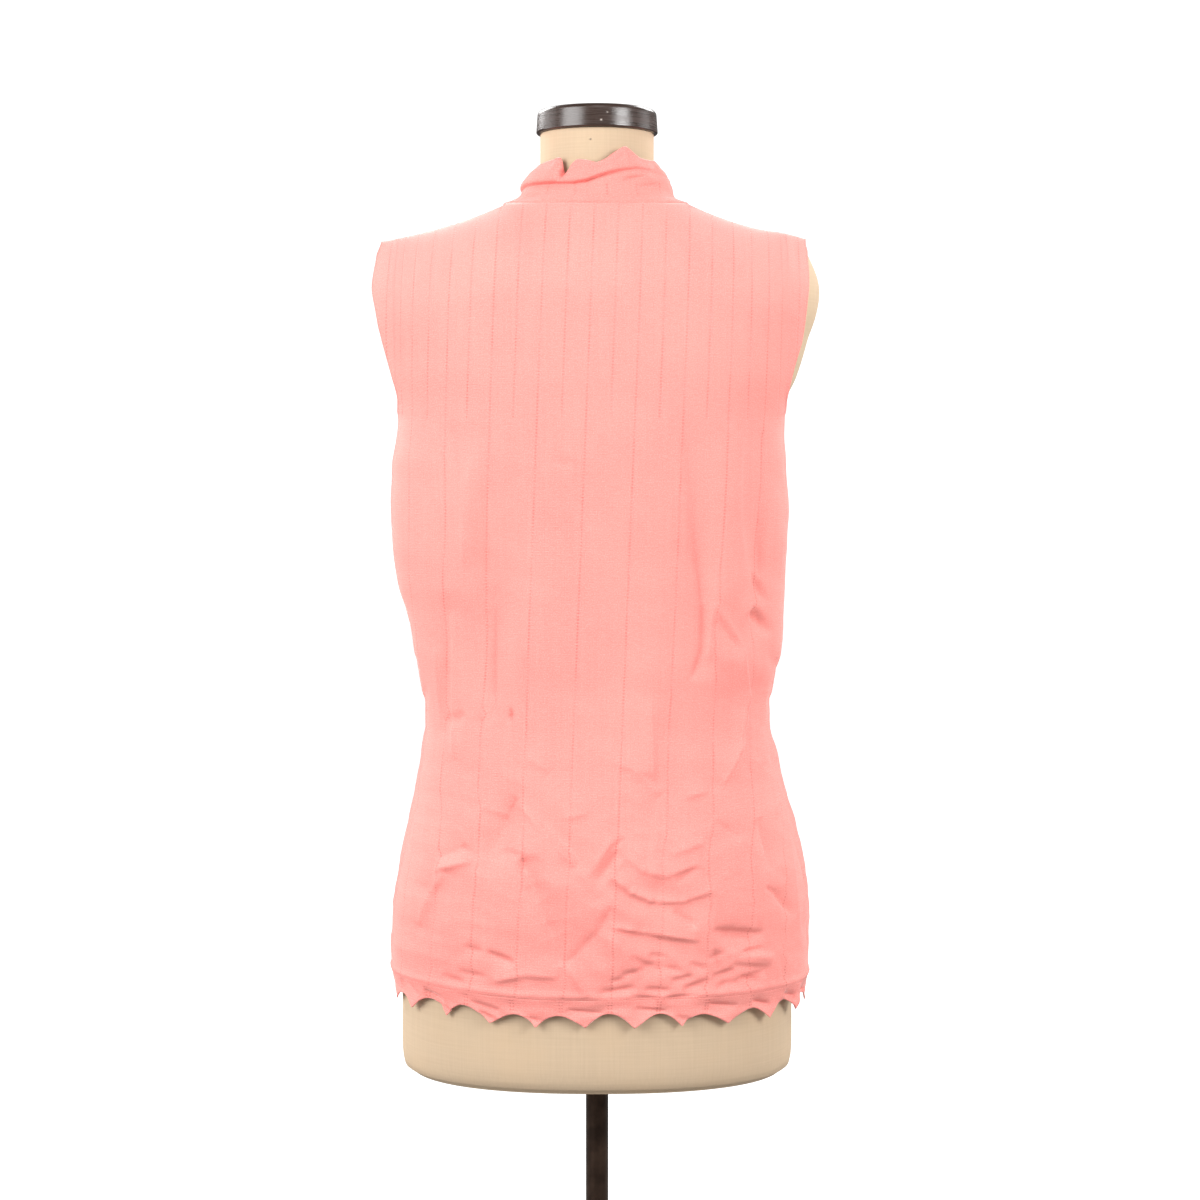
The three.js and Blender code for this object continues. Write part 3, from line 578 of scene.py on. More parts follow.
def panel_turn(side, share, height):
    """Turn of a panel's column. Inside the neckline's corners the columns stay upright."""
    corner = CORNER_TURN / SEAM_SIDE
    outside = (np.abs(share) - corner) / (1 - corner)
    turned = np.sign(share) * lerp(CORNER_TURN, edge_turn(side, share, height), outside)
    return np.where(outside <= 0, share * SEAM_SIDE, turned)


def cloth_move(side, row, turn, height):
    """How far folds, creases and ripples move the cloth out. Troughs stop short of the form."""
    plain = surface_point(row, side, turn, height, 0)
    x, y, z = np.moveaxis(plain, -1, 0)
    angle = np.radians(turn)
    facing_out = np.maximum(np.cos(angle), 0)
    below = 1 - smooth(UNDERARM, FOLDS_END, height)
    broad = fold_depth(BACK_FOLDS if side == "back" else FRONT_FOLDS, x, z)
    fine = crease_depth(BACK_CREASES if side == "back" else FRONT_CREASES, x, z)
    round_side = smooth(*SIDE_TURNS, facing_out)
    sides = np.where(turn < 0, crease_depth(SIDE_CREASES["left"], y, z),
                     crease_depth(SIDE_CREASES["right"], y, z))
    faint = RIPPLE * ripples(x + RIPPLE_ROUND * y, z, RIPPLE_SEED) * lerp(RIPPLE_ABOVE, 1, below)
    move = (broad * np.maximum(facing_out, LEAST_FACING) ** 0.5 * below + fine * (1 - round_side)
            + sides * round_side * below + faint + crumple(x, y, z, height))
    slack = lerp(row["behind" if side == "back" else "before"], row["sides"], np.sin(angle) ** 2)
    room = np.maximum(slack, 0) + SPARE_ROOM
    return np.where(move < 0, -room * np.tanh(-move / room), move)


# ---- Meshes ----

CUT_MAP = "cut"                # coordinates of the flat cloth, across and up, in metres
CHIP_MAP = "chip"              # how far the lacquer is chipped, from 0 to 1
SHARP_TURNED = 40              # edges of turned pieces are shaded sharp past this angle
SHARP_FORM = 50                # and those of the form
ARC_SHARE = 0.45               # a corner's arc takes up at most this share of its shorter side
WELD = 0.05                    # points nearer than this are made one


def set_uv(mesh, name, values):
    """Stores coordinates for every face corner under a name."""
    layer = mesh.uv_layers.new(name=name)
    layer.data.foreach_set("uv", np.asarray(values, np.float32).ravel())


def new_piece(name, points, faces, material, cut=None, corners_of=None):
    """A smooth-shaded object from points in millimetres, with the cut's coordinates as a map in metres."""
    mesh = bpy.data.meshes.new(name)
    mesh.from_pydata((points * MM).tolist(), [], faces.tolist() if hasattr(faces, "tolist") else faces)
    mesh.polygons.foreach_set("use_smooth", np.ones(len(mesh.polygons), bool))
    if cut is not None:
        set_uv(mesh, CUT_MAP, cut[corners_of] * MM)
    mesh.materials.append(material)
    mesh.validate()
    mesh.update()
    made = bpy.data.objects.new(name, mesh)
    bpy.context.scene.collection.objects.link(made)
    return made


def rim(face, back, inner):
    """Points round a cut edge, half way between its two faces."""
    away = face - inner
    away = away / np.maximum(np.linalg.norm(away, axis=-1, keepdims=True), 1e-6)
    return (face + back) / 2 + away * np.linalg.norm(face - back, axis=-1, keepdims=True) / 2


def padded_grid(outer, inner, ring):
    """The outer face with one more line of points round it, on the rounded edge of the cloth."""
    rows, columns, depth = outer.shape
    if ring:
        return np.concatenate([rim(outer[:1], inner[:1], outer[1:2]), outer,
                               rim(outer[-1:], inner[-1:], outer[-2:-1])])
    grid = np.empty((rows + 2, columns + 2, depth))
    grid[1:-1, 1:-1] = outer
    for edge, beside in ((0, 1), (-1, -2)):
        grid[edge, 1:-1] = rim(outer[edge], inner[edge], outer[beside])
        grid[1:-1, edge] = rim(outer[:, edge], inner[:, edge], outer[:, beside])
        for end, near in ((0, 1), (-1, -2)):
            grid[edge, end] = rim(outer[edge, end], inner[edge, end], outer[beside, near])
    return grid


def grid_faces(index):
    """Quads over a grid of vertex numbers."""
    quads = np.stack([index[:-1, :-1], index[:-1, 1:], index[1:, 1:], index[1:, :-1]], -1)
    return quads.reshape(-1, 4)


def every_other(count):
    """Every second number up to a count, always with the last."""
    return np.unique(np.append(np.arange(0, count, 2), count - 1))


def lining_faces(index):
    """A face over each two by two squares of the grid, keeping every point of its border."""
    rows, columns = (every_other(size) for size in index.shape)
    faces = []
    for low, high in zip(rows, rows[1:]):
        for left, right in zip(columns, columns[1:]):
            loop = [index[low, left]]
            if low == 0:
                loop += list(index[0, left + 1:right])
            loop.append(index[low, right])
            if right == columns[-1]:
                loop += list(index[low + 1:high, right])
            loop.append(index[high, right])
            if high == rows[-1]:
                loop += list(index[-1, left + 1:right][::-1])
            loop.append(index[high, left])
            if left == 0:
                loop += list(index[low + 1:high, 0][::-1])
            faces.append(loop[::-1])
    return faces


def cloth_shell(name, outer, inner, cut, material, ring=False):
    """A thin shell with rounded edges. On a ring the last column of points and cut closes on the first.

    The face turned to the body is never seen whole, so it has half the points of the outer one each way.
    """
    face = padded_grid(outer, inner, ring)
    rows, columns = face.shape[:2]
    points = np.concatenate([face.reshape(-1, 3), inner.reshape(-1, 3)])
    front = np.arange(rows * columns).reshape(rows, columns)
    back = front.copy()
    middle = np.s_[1:-1, :] if ring else np.s_[1:-1, 1:-1]
    back[middle] = rows * columns + np.arange(inner.shape[0] * inner.shape[1]).reshape(inner.shape[:2])
    cut_grid = np.pad(cut, ((1, 1), (0, 0) if ring else (1, 1), (0, 0)), mode="edge")
    cut_points = np.concatenate([cut_grid.reshape(-1, 2), cut.reshape(-1, 2)])
    if ring:
        lining = grid_faces(back)[:, ::-1].tolist()
    else:
        first = grid_faces(back[:2])[:, ::-1].tolist()
        last = grid_faces(back[-2:])[:, ::-1].tolist()
        left = grid_faces(back[1:-1, :2])[:, ::-1].tolist()
        right = grid_faces(back[1:-1, -2:])[:, ::-1].tolist()
        lining = first + last + left + right + lining_faces(back[1:-1, 1:-1])
    loops = grid_faces(front).tolist() + lining
    sizes = [len(loop) for loop in loops]
    corners_of = np.concatenate([np.array(loop) for loop in loops])
    ends = corners_of
    if ring:
        closed = np.arange(len(points))
        for grid in (front, back):
            closed[grid[:, -1]] = grid[:, 0]
        ends = closed[corners_of]
    used, numbers = np.unique(ends, return_inverse=True)
    faces = [part.tolist() for part in np.split(numbers.ravel(), np.cumsum(sizes)[:-1])]
    return new_piece(name, points[used], faces, material, cut_points, corners_of)


def turned_piece(name, profile, material, sides):
    """A lathe-turned solid from its half profile of radii and heights, from axis to axis."""
    profile = np.asarray(profile, float)
    turns = np.linspace(0, 2 * math.pi, sides, endpoint=False)
    rings = profile[1:-1]
    points = [(0, 0, profile[0, 1])]
    for radius, height in rings:
        points += [(radius * math.cos(t), radius * math.sin(t), height) for t in turns]
    points.append((0, 0, profile[-1, 1]))
    faces = []
    for i in range(sides):
        j = (i + 1) % sides
        faces.append((0, 1 + j, 1 + i))
        for ring in range(len(rings) - 1):
            low, high = 1 + ring * sides, 1 + (ring + 1) * sides
            faces.append((low + i, low + j, high + j, high + i))
        top = 1 + (len(rings) - 1) * sides
        faces.append((top + i, top + j, len(points) - 1))
    made = new_piece(name, np.array(points), faces, material)
    made.data.set_sharp_from_angle(angle=math.radians(SHARP_TURNED))
    return made


def rounded(profile, radius, steps=5):
    """A profile with each inner corner rounded by arcs of a radius, or less where its sides are short."""
    profile = [np.array(point, float) for point in profile]
    out = [profile[0]]
    for before, here, after in zip(profile, profile[1:], profile[2:]):
        back, ahead = before - here, after - here
        reach = min(radius, np.linalg.norm(back) * ARC_SHARE, np.linalg.norm(ahead) * ARC_SHARE)
        start = here + back / np.linalg.norm(back) * reach
        end = here + ahead / np.linalg.norm(ahead) * reach
        for i in range(steps + 1):
            t = i / steps
            out.append((1 - t) ** 2 * start + 2 * t * (1 - t) * here + t * t * end)
    out.append(profile[-1])
    return out


# ---- Materials ----

def add_node(tree, kind, inputs=None, **settings):
    """A node with its settings, and with its inputs set to values or linked to other nodes."""
    made = tree.nodes.new(kind)
    for name, value in settings.items():
        setattr(made, name, value)
    for name, value in (inputs or {}).items():
        if isinstance(value, bpy.types.Node):
            value = value.outputs[0]
        if isinstance(value, bpy.types.NodeSocket):
            tree.links.new(value, made.inputs[name])
        else:
            made.inputs[name].default_value = value
    return made


def new_material(name):
    """An empty node material with its output and a shader, and the tree that they stand in."""
    made = bpy.data.materials.new(name)
    made.use_nodes = True
    tree = made.node_tree
    tree.nodes.clear()
    shader = add_node(tree, "ShaderNodeBsdfPrincipled")
    add_node(tree, "ShaderNodeOutputMaterial", {"Surface": shader})
    return made, tree, shader


def math_chain(tree, value, *steps):
    """A value taken through a row of sums, each an operation and its second number."""
    for operation, number in steps:
        value = add_node(tree, "ShaderNodeMath", {0: value, 1: number}, operation=operation)
    return value


def eyelet_mask(tree, across, along, column_gap, row_gap, radius):
    """1 inside small round holes that repeat across and along the knit, 0 outside."""
    squares = []
    for value, gap in ((across, column_gap), (along, row_gap)):
        offset = add_node(tree, "ShaderNodeMath", {0: value, 1: gap / 2, 2: -gap / 2}, operation="WRAP")
        squares.append(add_node(tree, "ShaderNodeMath", {0: offset, 1: offset}, operation="MULTIPLY"))
    distance = math_chain(tree, squares[0], ("ADD", squares[1]), ("POWER", 0.5))
    light, dark = EYELET_EDGE
    return add_node(tree, "ShaderNodeMapRange", {"Value": distance, "From Min": radius * light,
                                                 "From Max": radius * dark}, clamp=True)


def between(tree, value, low, high):
    """1 where a value lies between two numbers."""
    above = add_node(tree, "ShaderNodeMath", {0: value, 1: low}, operation="GREATER_THAN")
    under = add_node(tree, "ShaderNodeMath", {0: value, 1: high}, operation="LESS_THAN")
    return add_node(tree, "ShaderNodeMath", {0: above, 1: under}, operation="MULTIPLY")


def panel_eyelets(tree, across, along):
    """Dotted pointelle columns, of which every second one stops below the bust."""
    lean = math_chain(tree, along, ("SUBTRACT", POINTELLE_FOOT_AT), ("MULTIPLY", POINTELLE_LEAN),
                      ("ADD", POINTELLE_FOOT))
    shifted = math_chain(tree, across, ("SUBTRACT", lean))
    ending = eyelet_mask(tree, shifted, along, 2 * POINTELLE_GAP, EYELET_PITCH, EYELET_RADIUS)
    high = math_chain(tree, along, ("GREATER_THAN", POINTELLE_THINS))
    ending = math_chain(tree, ending, ("MULTIPLY", high))
    going_on = math_chain(tree, shifted, ("SUBTRACT", POINTELLE_GAP))
    lasting = eyelet_mask(tree, going_on, along, 2 * POINTELLE_GAP, EYELET_PITCH, EYELET_RADIUS)
    return math_chain(tree, ending, ("MAXIMUM", lasting))


def edging_eyelets(tree, across, along):
    """A few eyelets, two abreast, over each arch of the edging."""
    shifted = math_chain(tree, across, ("SUBTRACT", HEM_EYELETS_AT))
    from_arch = add_node(tree, "ShaderNodeMath", {0: shifted, 1: SCALLOP_PITCH / 2, 2: -SCALLOP_PITCH / 2},
                         operation="WRAP")
    abreast = math_chain(tree, from_arch, ("ADD", HEM_EYELETS_GAP / 2))
    mask = eyelet_mask(tree, abreast, along, HEM_EYELETS_GAP, EYELET_PITCH, EYELET_RADIUS)
    near = between(tree, from_arch, -HEM_EYELETS_GAP, HEM_EYELETS_GAP)
    high = between(tree, along, *HEM_EYELETS)
    return math_chain(tree, mask, ("MULTIPLY", near), ("MULTIPLY", high))


def collar_eyelets(tree, across, along):
    """Short upright rows of eyelets just above the neck seam."""
    shifted = math_chain(tree, across, ("SUBTRACT", COLLAR_EYELETS_AT))
    mask = eyelet_mask(tree, shifted, along, COLLAR_EYELETS_GAP, EYELET_PITCH, EYELET_RADIUS)
    return math_chain(tree, mask, ("MULTIPLY", between(tree, along, *COLLAR_EYELETS)))


FIBRE_SHEEN = (1.0, 0.74, 0.7, 1.0)     # linear light: the yarn's own colour, so no edge turns white


def knit_material(name, knit, eyelets, painted_shade=0.0):
    """Fine plain-knit cotton and viscose jersey, machine knitted.

    The eye gets a matt cloth with a soft bright edge where the fibres catch the light, faint upright wales
    and level courses, with painted shade down between the stitches, and rows of tiny eyelets that read as
    dots of painted shade. Real wales are about 1.5 mm apart and courses 1.2 mm, too fine to show, so both
    are drawn nearly twice as coarse. The last argument is how much of the deeper colour is mixed in all
    over, as painted shade on the collar's cloth.
    """
    made, tree, shader = new_material(name)
    cut = add_node(tree, "ShaderNodeUVMap", uv_map=CUT_MAP)
    millimetres = add_node(tree, "ShaderNodeVectorMath", {0: cut, "Scale": 1 / MM}, operation="SCALE")
    axes = add_node(tree, "ShaderNodeSeparateXYZ", {0: millimetres})
    across, along = axes.outputs[0], axes.outputs[1]
    wale = math_chain(tree, across, ("DIVIDE", knit.wale / MM))
    slant = math_chain(tree, wale, ("PINGPONG", 0.5), ("MULTIPLY", 0.7))
    leg = math_chain(tree, wale, ("PINGPONG", 0.25), ("MULTIPLY", 4.0), ("POWER", 0.6))
    course = math_chain(tree, along, ("DIVIDE", knit.course / MM), ("ADD", slant),
                        ("MULTIPLY", 2 * math.pi), ("SINE", 0.0), ("MULTIPLY", 0.5), ("ADD", 0.5))
    stitch = math_chain(tree, leg, ("MULTIPLY", course))
    holes = eyelets(tree, across, along)
    # Uneven courses, then broader uneven wales, the fuzz of the fibres, and large patches.
    streaks = add_node(tree, "ShaderNodeMapping", {"Vector": millimetres, "Scale": (0.1, 1.1, 1.0)})
    level = add_node(tree, "ShaderNodeTexNoise", {"Vector": streaks, "Scale": 1.0, "Detail": 3.0,
                                                  "Roughness": 0.6})
    upright = add_node(tree, "ShaderNodeMapping", {"Vector": millimetres, "Scale": (0.35, 0.012, 1.0)})
    columns = add_node(tree, "ShaderNodeTexNoise", {"Vector": upright, "Scale": 1.0, "Detail": 2.0})
    fuzz = add_node(tree, "ShaderNodeTexNoise", {"Vector": millimetres, "Scale": 0.9, "Detail": 3.0,
                                                 "Roughness": 0.7})
    patches = add_node(tree, "ShaderNodeTexNoise", {"Vector": millimetres, "Scale": 0.012, "Detail": 2.0})
    patchy = add_node(tree, "ShaderNodeTexNoise", {"Vector": millimetres, "Scale": 0.03, "Detail": 1.0})

    def tint(base, factor, colour, amount):
        """A colour mixed into another by a pattern."""
        strength = math_chain(tree, factor, ("MULTIPLY", amount))
        return add_node(tree, "ShaderNodeMix", {0: strength, 6: base, 7: colour},
                        data_type="RGBA").outputs[2]

    yarn, deep, pale = tuple(knit.yarn), tuple(knit.deep), tuple(knit.pale)
    # Painted shade: the deeper colour mixed in all over by the last argument darkens the collar's cloth.
    colour = add_node(tree, "ShaderNodeMix", {0: painted_shade, 6: yarn, 7: deep}, data_type="RGBA").outputs[2]
    # Painted shade down in the hollows between the stitches.
    painted_stitch_shade = math_chain(tree, stitch, ("MULTIPLY", -1.0), ("ADD", 1.0))
    colour = tint(colour, painted_stitch_shade, deep, 0.14)
    # Each pattern tints the yarn where it is above its start, or below it where the sign is negative.
    for pattern, sign, start, shade, amount in (
        (level, 1, 0.35, deep, 1.5),
        (columns, 1, 0.4, pale, 0.25),
        (fuzz, 1, 0.47, pale, 2.6),
        (fuzz, -1, 0.47, deep, 2.6),
        (patches, 1, 0.4, pale, 0.3),
    ):
        past = math_chain(tree, pattern, ("MULTIPLY", sign), ("SUBTRACT", sign * start), ("MAXIMUM", 0.0))
        colour = tint(colour, past, shade, amount)
    # Painted shade in the eyelets: the dark eyelet colour stands for the shade seen through the holes,
    # stronger in some patches than in others.
    wear_and_patchy_shade = add_node(tree, "ShaderNodeMapRange", {"Value": patchy, "From Min": 0.38, "From Max": 0.62,
                                                 "To Min": 0.35, "To Max": 1.3})
    uneven = math_chain(tree, fuzz, ("MULTIPLY", 0.9), ("ADD", 0.15), ("MULTIPLY", wear_and_patchy_shade))
    colour = tint(colour, math_chain(tree, holes, ("MULTIPLY", uneven)), tuple(knit.eyelet), 0.58)

    height = math_chain(tree, stitch, ("MULTIPLY", 0.4),
                        ("ADD", math_chain(tree, fuzz, ("MULTIPLY", 0.35))),
                        ("ADD", math_chain(tree, level, ("MULTIPLY", 0.9))),
                        ("SUBTRACT", math_chain(tree, holes, ("MULTIPLY", 1.2))))
    bump = add_node(tree, "ShaderNodeBump", {"Height": height, "Distance": 0.3 * MM, "Strength": 0.7})
    tree.links.new(colour, shader.inputs["Base Color"])
    tree.links.new(bump.outputs[0], shader.inputs["Normal"])
    shader.inputs["Roughness"].default_value = 0.88
    shader.inputs["IOR"].default_value = 1.45
    shader.inputs["Specular IOR Level"].default_value = 0.25
    shader.inputs["Sheen Weight"].default_value = 0.85
    shader.inputs["Sheen Roughness"].default_value = 0.27
    shader.inputs["Sheen Tint"].default_value = FIBRE_SHEEN
    return made


LINEN_WEFT = 1.9               # height of a level thread as drawn
LINEN_WARP = 3.8               # width of an upright one
LINEN_RADIUS = 130             # of the form, on average


def solid_place(tree):
    """Place in the piece, in millimetres."""
    place = add_node(tree, "ShaderNodeTexCoord")
    return add_node(tree, "ShaderNodeVectorMath", {0: place.outputs["Object"], "Scale": 1 / MM},
                    operation="SCALE")


def linen_material(colours):
    """Cotton-linen cover cloth, plain woven and pulled tight over the form.

    The eye gets a dry matt beige with crossing threads, a few thicker slubs and a slightly warmer patch here
    and there. Real threads are about 0.6 mm apart, too fine to show, so they are drawn three and six times
    as coarse.
    """
    made, tree, shader = new_material("linen_cover_plain_woven")
    millimetres = solid_place(tree)
    axes = add_node(tree, "ShaderNodeSeparateXYZ", {0: millimetres})
    turn = add_node(tree, "ShaderNodeMath", {0: axes.outputs[1], 1: axes.outputs[0]}, operation="ARCTAN2")
    round_it = math_chain(tree, turn, ("MULTIPLY", LINEN_RADIUS * 2 * math.pi / LINEN_WARP), ("SINE", 0.0))
    up_it = math_chain(tree, axes.outputs[2], ("MULTIPLY", 2 * math.pi / LINEN_WEFT), ("SINE", 0.0))
    weave = math_chain(tree, round_it, ("MULTIPLY", up_it), ("MULTIPLY", 0.5), ("ADD", 0.5))
    weft = add_node(tree, "ShaderNodeMapping", {"Vector": millimetres, "Scale": (0.02, 0.02, 0.8)})
    warp = add_node(tree, "ShaderNodeMapping", {"Vector": millimetres, "Scale": (0.7, 0.7, 0.02)})
    slubs = add_node(tree, "ShaderNodeTexNoise", {"Vector": weft, "Scale": 1.0, "Detail": 3.0})
    strands = add_node(tree, "ShaderNodeTexNoise", {"Vector": warp, "Scale": 1.0, "Detail": 3.0})
    patches = add_node(tree, "ShaderNodeTexNoise", {"Vector": millimetres, "Scale": 0.02, "Detail": 3.0})
    fibre = add_node(tree, "ShaderNodeTexNoise", {"Vector": millimetres, "Scale": 0.8, "Detail": 4.0})
    threads = math_chain(tree, slubs, ("ADD", strands.outputs[0]), ("MULTIPLY", 0.5))
    tone = add_node(tree, "ShaderNodeMapRange", {"Value": threads, "From Min": 0.35, "From Max": 0.65})
    colour = add_node(tree, "ShaderNodeMix", {0: tone, 6: tuple(colours.linen_deep),
                                              7: tuple(colours.linen)}, data_type="RGBA")
    warm = add_node(tree, "ShaderNodeMapRange", {"Value": patches, "From Min": 0.45, "From Max": 0.75,
                                                 "To Max": 0.5})
    colour = add_node(tree, "ShaderNodeMix", {0: warm, 6: colour.outputs[2],
                                              7: tuple(colours.linen_warm)}, data_type="RGBA")
    height = math_chain(tree, weave, ("MULTIPLY", 0.5),
                        ("ADD", math_chain(tree, threads, ("MULTIPLY", 0.6))),
                        ("ADD", math_chain(tree, fibre, ("MULTIPLY", 0.3))))
    bump = add_node(tree, "ShaderNodeBump", {"Height": height, "Distance": 0.2 * MM, "Strength": 0.08})
    tree.links.new(colour.outputs[2], shader.inputs["Base Color"])
    tree.links.new(bump.outputs[0], shader.inputs["Normal"])
    shader.inputs["Roughness"].default_value = 0.9
    shader.inputs["IOR"].default_value = 1.45
    shader.inputs["Specular IOR Level"].default_value = 0.2
    shader.inputs["Sheen Weight"].default_value = 0.04
    shader.inputs["Sheen Roughness"].default_value = 0.6
    return made


def lacquered_wood_material(name, colours, ring_scale):
    """Beech, lathe turned, stained dark and lacquered.

    The eye gets a dark brown with a satin streak of light, fine rings left by the lathe, one to two
    millimetres apart, and pale chips where the lacquer has come off the edges.
    """
    made, tree, shader = new_material(name)
    base, deep, wear_and_patchy_shade = tuple(colours.wood), tuple(colours.wood_deep), tuple(colours.wood_worn)
    millimetres = solid_place(tree)
    rings = add_node(tree, "ShaderNodeMapping", {"Vector": millimetres, "Scale": (0.02, 0.02, 1.1)})
    streaks = add_node(tree, "ShaderNodeTexNoise", {"Vector": rings, "Scale": ring_scale, "Detail": 5.0,
                                                    "Roughness": 0.65})
    tone = add_node(tree, "ShaderNodeMapRange", {"Value": streaks, "From Min": 0.3, "From Max": 0.7})
    colour = add_node(tree, "ShaderNodeMix", {0: tone, 6: deep, 7: base}, data_type="RGBA")
    chips = add_node(tree, "ShaderNodeAttribute", attribute_name=CHIP_MAP)
    colour = add_node(tree, "ShaderNodeMix", {0: chips.outputs["Fac"], 6: colour.outputs[2], 7: wear_and_patchy_shade},
                      data_type="RGBA")
    gloss = add_node(tree, "ShaderNodeMapRange", {"Value": streaks, "From Min": 0.3, "From Max": 0.7,
                                                  "To Min": 0.2, "To Max": 0.36})
    bump = add_node(tree, "ShaderNodeBump", {"Height": streaks, "Distance": 0.15 * MM, "Strength": 0.6})
    tree.links.new(colour.outputs[2], shader.inputs["Base Color"])
    tree.links.new(gloss.outputs[0], shader.inputs["Roughness"])
    tree.links.new(bump.outputs[0], shader.inputs["Normal"])
    shader.inputs["IOR"].default_value = 1.5
    shader.inputs["Coat Weight"].default_value = 0.15
    shader.inputs["Coat Roughness"].default_value = 0.25
    return made


def steel_material(colours):
    """Steel tube, drawn and given a dark bronze finish.

    The eye gets a dark brown metal with a soft upright streak of light and faint lines along the tube.
    """
    made, tree, shader = new_material("bronzed_steel_drawn_tube")
    millimetres = solid_place(tree)
    lines = add_node(tree, "ShaderNodeMapping", {"Vector": millimetres, "Scale": (1.2, 1.2, 0.01)})
    drawn = add_node(tree, "ShaderNodeTexNoise", {"Vector": lines, "Scale": 1.0, "Detail": 4.0})
    cloudy = add_node(tree, "ShaderNodeTexNoise", {"Vector": millimetres, "Scale": 0.05, "Detail": 3.0})
    tone = add_node(tree, "ShaderNodeMapRange", {"Value": cloudy, "From Min": 0.35, "From Max": 0.65})
    colour = add_node(tree, "ShaderNodeMix", {0: tone, 6: tuple(colours.metal_deep),
                                              7: tuple(colours.metal)}, data_type="RGBA")
    gloss = add_node(tree, "ShaderNodeMapRange", {"Value": drawn, "From Min": 0.3, "From Max": 0.7,
                                                  "To Min": 0.3, "To Max": 0.45})
    bump = add_node(tree, "ShaderNodeBump", {"Height": drawn, "Distance": 0.05 * MM, "Strength": 0.4})
    tree.links.new(colour.outputs[2], shader.inputs["Base Color"])
    tree.links.new(gloss.outputs[0], shader.inputs["Roughness"])
    tree.links.new(bump.outputs[0], shader.inputs["Normal"])
    shader.inputs["Metallic"].default_value = 0.85
    return made


def pin_material():
    """Nickel-plated steel pin, headed cold. The eye gets a small dull grey dot."""
    made, tree, shader = new_material("nickel_pin_headed")
    place = add_node(tree, "ShaderNodeTexCoord")
    haze = add_node(tree, "ShaderNodeTexNoise", {"Vector": place.outputs["Object"], "Scale": 900.0})
    tone = add_node(tree, "ShaderNodeMapRange", {"Value": haze, "To Min": 0.3, "To Max": 0.5})
    tree.links.new(tone.outputs[0], shader.inputs["Roughness"])
    shader.inputs["Base Color"].default_value = linear(0xB5A797)
    shader.inputs["Metallic"].default_value = 0.9
    return made


# ---- Settings ----

class KnitSettings(bpy.types.PropertyGroup):
    """The sweater's yarn and gauge."""
    yarn: bpy.props.FloatVectorProperty(name="Yarn", description="Colour of the coral yarn",
                                        subtype="COLOR", size=4, default=linear(0xF0918A))
    # The deep yarn is also painted shade: between the stitches and all over the collar.
    deep: bpy.props.FloatVectorProperty(name="Deep yarn", description="Colour down between the stitches",
                                        subtype="COLOR", size=4, default=linear(0xE57D76))
    pale: bpy.props.FloatVectorProperty(name="Pale yarn", description="Colour of fibres that catch light",
                                        subtype="COLOR", size=4, default=linear(0xF7B2A6))
    eyelet: bpy.props.FloatVectorProperty(name="Eyelet", description="Shade seen through the eyelets",
                                          subtype="COLOR", size=4, default=linear(0xC05A55))
    thickness: bpy.props.FloatProperty(name="Cloth thickness", description="Thickness of the knit",
                                       unit="LENGTH", default=1.2 * MM)
    wale: bpy.props.FloatProperty(name="Wale", description="Width of a column of stitches as drawn",
                                  unit="LENGTH", default=2.6 * MM)
    course: bpy.props.FloatProperty(name="Course", description="Height of a row of stitches as drawn",
                                    unit="LENGTH", default=2.1 * MM)
    grid: bpy.props.FloatProperty(name="Cloth grid", description="Size of the panels' mesh squares",
                                  unit="LENGTH", default=1.8 * MM)


class FormSettings(bpy.types.PropertyGroup):
    """The dress form's cover and stand."""
    linen: bpy.props.FloatVectorProperty(name="Linen", description="Colour of the cover",
                                         subtype="COLOR", size=4, default=linear(0xC4AD92))
    linen_deep: bpy.props.FloatVectorProperty(name="Linen shade", description="Colour between its threads",
                                              subtype="COLOR", size=4, default=linear(0xBDA68C))
    linen_warm: bpy.props.FloatVectorProperty(name="Linen warm", description="Colour of its warmer patches",
                                              subtype="COLOR", size=4, default=linear(0xC7AC8D))
    wood: bpy.props.FloatVectorProperty(name="Wood", description="Colour of the stained wood",
                                        subtype="COLOR", size=4, default=linear(0x3F2D26))
    wood_deep: bpy.props.FloatVectorProperty(name="Wood shade", description="Colour of its dark rings",
                                             subtype="COLOR", size=4, default=linear(0x241811))
    wood_worn: bpy.props.FloatVectorProperty(name="Wood chips", description="Colour under chipped lacquer",
                                             subtype="COLOR", size=4, default=linear(0xCFC2B8))
    metal: bpy.props.FloatVectorProperty(name="Metal", description="Colour of the bronzed tube",
                                         subtype="COLOR", size=4, default=linear(0x4A392F))
    metal_deep: bpy.props.FloatVectorProperty(name="Metal shade", description="Colour of its darker clouds",
                                              subtype="COLOR", size=4, default=linear(0x33261F))


class StudioSettings(bpy.types.PropertyGroup):
    """Camera and lights."""
    distance: bpy.props.FloatProperty(name="Distance", description="From the camera to the form's middle",
                                      unit="LENGTH", default=2.1)
    height: bpy.props.FloatProperty(name="Height", description="Height of the camera above the floor",
                                    unit="LENGTH", default=0.855)
    aside: bpy.props.FloatProperty(name="Aside", description="Camera's offset to the right",
                                   unit="LENGTH", default=0.0026)
    pitch: bpy.props.FloatProperty(name="Pitch", description="How far the camera looks down",
                                   subtype="ANGLE", default=math.radians(3.2))
    lens: bpy.props.FloatProperty(name="Focal length", description="Focal length on a 36 mm sensor",
                                  default=71.58)
    key: bpy.props.FloatProperty(name="Key light", description="Power of the large light at the left",
                                 unit="POWER", default=58.0)
    fill: bpy.props.FloatProperty(name="Fill light", description="Power of the light at the right",
                                  unit="POWER", default=41.0)
    top: bpy.props.FloatProperty(name="Top light", description="Power of the light above the camera",
                                 unit="POWER", default=9.0)
    wall: bpy.props.FloatProperty(name="Side light", description="Power of each light at the sides",
                                  unit="POWER", default=17.0)
    far: bpy.props.FloatProperty(name="Far light", description="Power of each light before the front",
                                 unit="POWER", default=50.0)
    sky: bpy.props.FloatProperty(name="White room", description="Strength of the white surroundings",
                                 default=0.24)


# ---- Panels of the sweater ----

